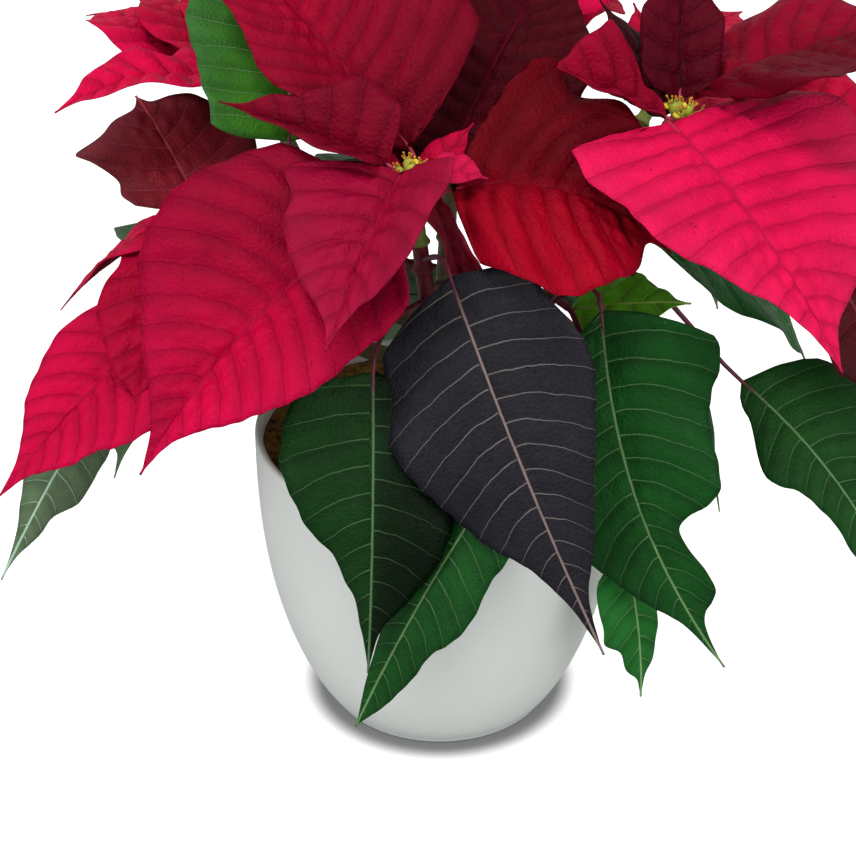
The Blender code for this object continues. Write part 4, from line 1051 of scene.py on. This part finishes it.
def skinWithPaintedLight(name, tone=1.0, left=1.0, right=1.0, root=1.0):
    # a skin with painted light and shade: deeper or brighter as a whole, on one side or towards its root
    look = dict(zip(("upper", "edge", "vein", "rib", "under", "quilt", "furrowShade"), skins[name]))
    return dict(look, tone=tone, left=left, right=right, root=root)


# each blade's painted light and shade: a tone above 1 brightens a lit blade and below 1 darkens a shaded one,
# a low left or right darkens the side that lies in another blade's shadow, and a low root darkens the shaded
# middle of a rosette
looks = {
    "front": {
        "low_left": skinWithPaintedLight("crimson", 0.93, right=0.74, root=0.5), "back": skinWithPaintedLight("maroon, painted shade"),
        "back_right": skinWithPaintedLight("crimson deep", 0.12), "right": skinWithPaintedLight("scarlet", 0.92, left=0.28, right=0.85),
        "back_left": skinWithPaintedLight("crimson deep", 0.68, root=0.4), "flap": skinWithPaintedLight("crimson pink", 0.5, root=0.85),
        "left_fold": skinWithPaintedLight("dusk", 0.45), "curled": skinWithPaintedLight("crimson pink", 0.8), "under": skinWithPaintedLight("dusk", 1.6),
        "dark": skinWithPaintedLight("slate, painted shade", 0.5), "deep_green": skinWithPaintedLight("bottle green", left=0.12, right=0.62),
        "upper_left": skinWithPaintedLight("two greens", 0.72), "leaf low_left": skinWithPaintedLight("mid green", 0.62),
    },
    "right": {
        "front": skinWithPaintedLight("crimson pink", 1.04), "left_fold": skinWithPaintedLight("crimson deep", 0.49),
        "back_right": skinWithPaintedLight("crimson deep", 0.5, right=0.5), "upright": skinWithPaintedLight("maroon, painted shade", 0.75),
        "ring1_0": skinWithPaintedLight("maroon, painted shade", 0.3), "lobed": skinWithPaintedLight("mid green", 0.68),
        "low_small": skinWithPaintedLight("mid green", 1.6), "bright_small": skinWithPaintedLight("bright green, painted light", 2.6),
        "far_right": skinWithPaintedLight("bottle green", 1.05), "edge_dark": skinWithPaintedLight("rust green"),
    },
    "left": {
        "low_left": skinWithPaintedLight("crimson", 0.9), "middle": skinWithPaintedLight("crimson deep", 0.8),
        "far_left": skinWithPaintedLight("crimson", 0.8), "narrow": skinWithPaintedLight("grey green", 2.6),
        "dusky": skinWithPaintedLight("rust green", 2.6),
    },
    "back_left": {"left_fold": skinWithPaintedLight("crimson")},
}


def lookOf(shoot, key, kind):
    given = looks.get(shoot, {})
    for label in (kind + " " + key, key):  # a leaf may share its name with a bract
        if label in given:
            return given[label]
    chance = random.Random(len(shoot) * 31 + sum(map(ord, key)))
    usual = ("crimson", "crimson deep") if kind == "bract" else ("bottle green", "mid green")
    return skinWithPaintedLight(chance.choice((*usual, usual[1])))


def pascal(name):
    return "".join(word.capitalize() for word in name.split("_"))


# the trunk's places, each with its share of the trunk's radius
woodLine = (
    (0.0, 0.0, stemShape["trunkFoot"], 1.0), (0.0, 0.0, 0.095, 1.0), (0.0, 0.0, 0.112, 1.0),
    (0.0007, 0.0011, 0.121, 0.97), (0.0012, 0.002, 0.130, 0.94), (0.0008, 0.0032, 0.140, 0.88),
    (0.0, 0.004, stemShape["trunkTop"], 0.78),
)
woodParts = [stemPart([row[:3] for row in woodLine], [stemShape["trunkRadius"] * row[3] for row in woodLine],
                      0, stemColours["wood"])]
for name in shoots:
    path = [bezier(shootPath(name), stemShape["forkLength"] * t) for t in np.linspace(0, 1, 7)]
    woodParts.append(stemPart(path, [stemShape["shootRadius"] * 1.2] * 7, 0, stemColours["wood"]))
wood = joinedMesh("woodyStem", woodParts, [bark])
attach(wood, "root")
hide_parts("main_stem")
print("trunk and forks set,", len(wood.data.polygons), "faces")

for name in shoots:
    knots = shootPath(name)
    first = stemShape["forkLength"] + stemShape["gap"] / np.linalg.norm(np.subtract(knots[1], knots[0])) / 1.2
    path = [bezier(knots, t) for t in np.linspace(first, 1.0, 15)]
    radii = np.linspace(stemShape["shootRadius"] * 1.1, stemShape["shootRadius"] * 0.9, 15)
    parts = [stemPart(path, radii, 2, stemColours.get(name, stemColours["other"]))]
    found = shapesOf(leaves[name], leafTiers.get(name, []), lambda up: bezier(knots, up),
                     2 * bladeDetail["seed"] + len(name))
    for key, shape in found.items():
        start = bezier(knots, max(shape["up"], stemShape["forkLength"] + 0.08))
        parts.append(stalked(start, shape, stemShape["petioleRadius"], stemColours["leafStalk"]))
        parts.append(bladeShell(shape, lookOf(name, key, "leaf"), name + key))
    leafy = joinedMesh("leafyStem" + pascal(name), parts, [leafUpper, leafUnder, greenStem])
    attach(leafy, "root")
    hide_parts("leafy_stem_" + name)

    hub = [hubPoint(name, t) for t in np.linspace(0, 1, 9)]
    hubRadii = np.linspace(stemShape["hubRadius"], stemShape["hubRadius"] * 0.9, 9)
    bractStalk = stemShape["petioleRadius"] * stemShape["petioleBract"]
    parts = [stemPart(hub, hubRadii, 2, stemColours["hub"])]
    found = shapesOf(bracts[name], tiers[name], lambda up: hubPoint(name, up),
                     bladeDetail["seed"] + len(name))
    for key, shape in found.items():
        start = hubPoint(name, min(max(shape["up"], 0.08), 0.92))
        parts.append(stalked(start, shape, bractStalk, stemColours["bractStalk"]))
        parts.append(bladeShell(shape, lookOf(name, key, "bract"), name + key))
    rosette = joinedMesh("bracts" + pascal(name), parts, [bractUpper, bractUnder, greenStem])
    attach(rosette, "root")
    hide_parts("bracts_" + name)
    print(name, "shoot:", len(leafy.data.polygons), "leaf faces,", len(rosette.data.polygons), "bract faces")

flowerShape = {
    "count": 7, "ring": 0.0031, "middleUp": 0.0011, "lean": 34, "seed": 4, "lift": 0.0004,
    "sizes": (0.8, 1.12), "sways": (0.75, 1.2),  # least and most, as shares
    "cupRadius": 0.0019, "cupHeight": 0.0046, "sides": 14, "fringe": 0.06,
    # the cup's outline as shares of its radius and height: up the outside, then down the inside
    "outer": ((0.0, 0.0), (0.45, 0.02), (0.85, 0.18), (1.0, 0.42), (0.92, 0.68), (0.70, 0.88), (0.60, 1.0)),
    "inner": ((0.50, 0.98), (0.58, 0.86), (0.72, 0.66), (0.60, 0.5), (0.0, 0.45)),
    "glandRadius": 0.0011, "stamens": 6, "stamenLength": 0.0022, "stamenRadius": 0.00013,
    # places along the thread's end, each with a radius
    "anther": ((-0.12, 0.0001), (0.0, 0.00042), (0.1, 0.00042), (0.22, 0.0001)),
}

# flower cup: soft green skin; nectar gland: glossy and wet; anther: matt with pollen
finishes = (
    ("flower cup skin, soft", "#9ab03a", "#c4c048", 0.5), ("nectar gland, wet", "#e0c020", "#f0d848", 0.18),
    ("anther, pollen dusted", "#c83018", "#e8c030", 0.8),
)
flowerMaterials = [
    grainyMaterial(label, {"Scale": 700.0, "Detail": 3.0}, ((0.0, low), (1.0, high)), roughness, ior=1.42)
    for label, low, high, roughness in finishes]


def cupMesh():
    # one flower cup standing on the origin: an urn with a fringed mouth, a gland on +X, stamens inside
    r, h, sides = flowerShape["cupRadius"], flowerShape["cupHeight"], flowerShape["sides"]
    rings = flowerShape["outer"] + flowerShape["inner"]
    mouth = (len(flowerShape["outer"]) - 1, len(flowerShape["outer"]))
    points, faces = [], []
    for k, (x, z) in enumerate(rings):
        for i in range(sides):
            a = 2 * math.pi * i / sides
            fringe = flowerShape["fringe"] * (i % 2) * (k in mouth)
            points.append((x * r * math.cos(a), x * r * math.sin(a), (z + fringe) * h))
    for k in range(len(rings) - 1):
        for i in range(sides):
            j = (i + 1) % sides
            faces.append((k * sides + i, k * sides + j, (k + 1) * sides + j, (k + 1) * sides + i))
    kinds = [0] * len(faces)
    for path, radii, kind in cupExtras(r, h):
        tubePoints, tubeFaces = tube(path, radii, 7)
        faces += [[len(points) + corner for corner in face] for face in tubeFaces]
        points += tubePoints.tolist()
        kinds += [kind] * len(tubeFaces)
    mesh = bpy.data.meshes.new("flower cup")
    mesh.from_pydata(points, [], faces)
    mesh.attributes.new("kind", "INT", "FACE").data.foreach_set("value", kinds)
    return mesh


def cupExtras(r, h):
    # the gland is a fat two-lipped arc; each stamen is a thread with a ball on its end
    gland = [(r * 0.86 + 0.0009 * (1 - t * t), 0.0013 * t, h * 0.80 + 0.0004 * (1 - t * t))
             for t in np.linspace(-1, 1, 9)]
    swell = [0.25 + 0.55 * math.sin(math.pi * (0.12 + 0.76 * k / 8)) for k in range(9)]
    yield gland, [flowerShape["glandRadius"] * share for share in swell], 1
    for k in range(flowerShape["stamens"]):
        a = 2 * math.pi * k / flowerShape["stamens"] + 0.4
        length = flowerShape["stamenLength"] * (0.8 + 0.3 * (k % 3))
        foot = np.array([0.3 * r * math.cos(a), 0.3 * r * math.sin(a), h * 0.75])
        head = foot + np.array([0.35 * length * math.cos(a), 0.35 * length * math.sin(a), length])
        yield [foot, (foot + head) / 2, head], [flowerShape["stamenRadius"]] * 3, 0
        ball = [head + (head - foot) * t for t, _ in flowerShape["anther"]]
        yield ball, [radius for _, radius in flowerShape["anther"]], 2


def flowerTree(cup):
    # cups on a ring and one in the middle, leaning outward, then set on the hub
    tree, add, given = geometryTree("knot of flower cups", (
        ("Foot", "Vector"), ("Turn", "Rotation"), ("Ring", "Float"), ("Cups", "Int"), ("Lean", "Float"),
        ("Seed", "Int")))
    ring = add("GeometryNodeMeshCircle", {"Vertices": given["Cups"], "Radius": given["Ring"]})
    middle = add("GeometryNodeMeshLine", {"Count": 1, "Start Location": (0.0, 0.0, flowerShape["middleUp"])})
    spots = add("GeometryNodeJoinGeometry", {0: [ring, middle]})
    position = add("GeometryNodeInputPosition")
    place = add("ShaderNodeSeparateXYZ", {0: position})
    heading = add("ShaderNodeMath", {0: place.outputs["Y"], 1: place.outputs["X"]}, operation="ARCTAN2")
    distance = add("ShaderNodeVectorMath", {0: position}, operation="LENGTH")
    outer = add("ShaderNodeMapRange", {"Value": distance, "From Min": 0.0012, "From Max": given["Ring"]})
    size, sway = (add("FunctionNodeRandomValue", {2: least, 3: most, "Seed": given["Seed"]},
                      data_type="FLOAT") for least, most in (flowerShape["sizes"], flowerShape["sways"]))
    lean = add("ShaderNodeMath", {0: outer, 1: given["Lean"]}, operation="MULTIPLY")
    lean = add("ShaderNodeMath", {0: lean, 1: sway}, operation="MULTIPLY")
    angles = add("ShaderNodeCombineXYZ", {"Y": lean, "Z": heading})
    body = add("GeometryNodeObjectInfo", {"Object": cup})
    cups = add("GeometryNodeInstanceOnPoints", {
        "Points": spots, "Instance": body.outputs["Geometry"], "Rotation": angles, "Scale": size})
    placed = add("GeometryNodeTransform", {
        "Geometry": cups, "Translation": given["Foot"], "Rotation": given["Turn"]})
    return endTree(tree, placed, flowerMaterials)


cup = bpy.data.objects.new("flower cup", cupMesh())
bpy.context.scene.collection.objects.link(cup)
knotTree = flowerTree(cup)
for number, name in enumerate(shoots):
    foot = hubPoint(name, 1.0)
    axis = Vector(unit(foot - hubPoint(name, 0.0)))
    knot = shapedMesh("flowers" + pascal(name), bpy.data.meshes.new("knot"), knotTree, {
        "Foot": tuple(foot + np.array(axis) * flowerShape["lift"]),
        "Turn": axis.to_track_quat("Z", "X").to_euler(),
        "Ring": flowerShape["ring"], "Cups": flowerShape["count"] - 1 + number % 2,
        "Lean": math.radians(flowerShape["lean"]), "Seed": flowerShape["seed"] + number})
    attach(knot, "root")
    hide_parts("flowers_" + name)
bpy.data.objects.remove(cup)
print("flower cups set on", len(shoots), "hubs")

# camera: the photo's view, 31 degrees down
view = {"lens": 111.03, "sensor": 36.0, "place": (-0.00455, -0.8572, 0.6313), "tilt": 59.0}
camera = bpy.data.objects.new("camera", bpy.data.cameras.new("camera"))
camera.data.lens = view["lens"]
camera.data.sensor_width = view["sensor"]
camera.location = view["place"]
camera.rotation_euler = (math.radians(view["tilt"]), 0.0, 0.0)
bpy.context.scene.collection.objects.link(camera)
bpy.context.scene.camera = camera

studio = {
    # each lamp's power, size and place
    "lamps": {"key": (6.5, 0.34, (-0.3, -0.5, 1.4)), "left fill": (9.0, 1.2, (-1.2, -1.3, 0.9)),
              "right fill": (9.0, 1.2, (1.2, -1.3, 0.9))},
    "aim": (0.0, 0.0, 0.16),
    "world": 0.68, "paperGlow": 0.86, "shadowInner": 0.046, "shadowOuter": 0.0575,
}

# the lamps light the plant and its pot; the paper under them is lit by the room alone, so it stays plain
plant = bpy.data.collections.new("plant and pot")
for piece in bpy.context.scene.objects:
    if piece.type == "MESH" and not piece.hide_render:
        plant.objects.link(piece)
for name, (power, size, place) in studio["lamps"].items():
    lamp = bpy.data.objects.new(name, bpy.data.lights.new(name, "AREA"))
    lamp.data.shape = "DISK"
    lamp.data.size = size
    lamp.data.energy = power
    lamp.location = place
    lamp.rotation_euler = (Vector(studio["aim"]) - Vector(place)).to_track_quat("-Z", "Y").to_euler()
    lamp.light_linking.receiver_collection = plant
    bpy.context.scene.collection.objects.link(lamp)

# the room lights evenly and is seen as plain white
world = bpy.data.worlds.new("pale studio")
world.use_nodes = True
background = world.node_tree.nodes["Background"]
background.inputs["Color"].default_value = (1, 1, 1, 1)
add = functools.partial(addNode, world.node_tree)
looking = add("ShaderNodeLightPath")
level = add("ShaderNodeMapRange", {
    "Value": looking.outputs["Is Camera Ray"], "To Min": studio["world"], "To Max": 1.0})
world.node_tree.links.new(level.outputs["Result"], background.inputs["Strength"])
bpy.context.scene.world = world
bpy.context.scene.view_settings.view_transform = "Standard"
bpy.context.scene.view_settings.look = "None"

# white paper, lit from below as on a light table: plain white, with a painted shadow round the pot's foot,
# where the glow fades out and the paper turns grey
paper, add, spot = newMaterial("white paper on a light table")
flat = add("ShaderNodeVectorMath", {0: spot}, operation="LENGTH")
glowBeyondPaintedShadow = add("ShaderNodeMapRange", {
    "Value": flat, "From Min": studio["shadowInner"], "From Max": studio["shadowOuter"],
    "To Max": studio["paperGlow"]}, interpolation_type="SMOOTHSTEP")
seen = add("ShaderNodeLightPath")
shown = add("ShaderNodeMath", {0: glowBeyondPaintedShadow, 1: seen.outputs["Is Camera Ray"]}, operation="MULTIPLY")
# painted shadow: inside the same ring the paper's own colour is a darker grey
sheet = add("ShaderNodeMix", {0: glowBeyondPaintedShadow, 6: (0.42, 0.42, 0.42, 1), 7: (0.8, 0.8, 0.8, 1)}, data_type="RGBA")
shader = add("ShaderNodeBsdfPrincipled", {
    "Base Color": sheet, "Roughness": 0.9, "Specular IOR Level": 0.1,
    "Emission Color": (1, 1, 1, 1), "Emission Strength": shown})
add("ShaderNodeOutputMaterial", {"Surface": shader})
floorMesh = bpy.data.meshes.new("floor")
floorMesh.from_pydata([(-6, -6, 0), (6, -6, 0), (6, 6, 0), (-6, 6, 0)], [], [(0, 1, 2, 3)])
floorMesh.materials.append(paper)
floor = bpy.data.objects.new("floor", floorMesh)
bpy.context.scene.collection.objects.link(floor)
print("camera, lamps and paper set")
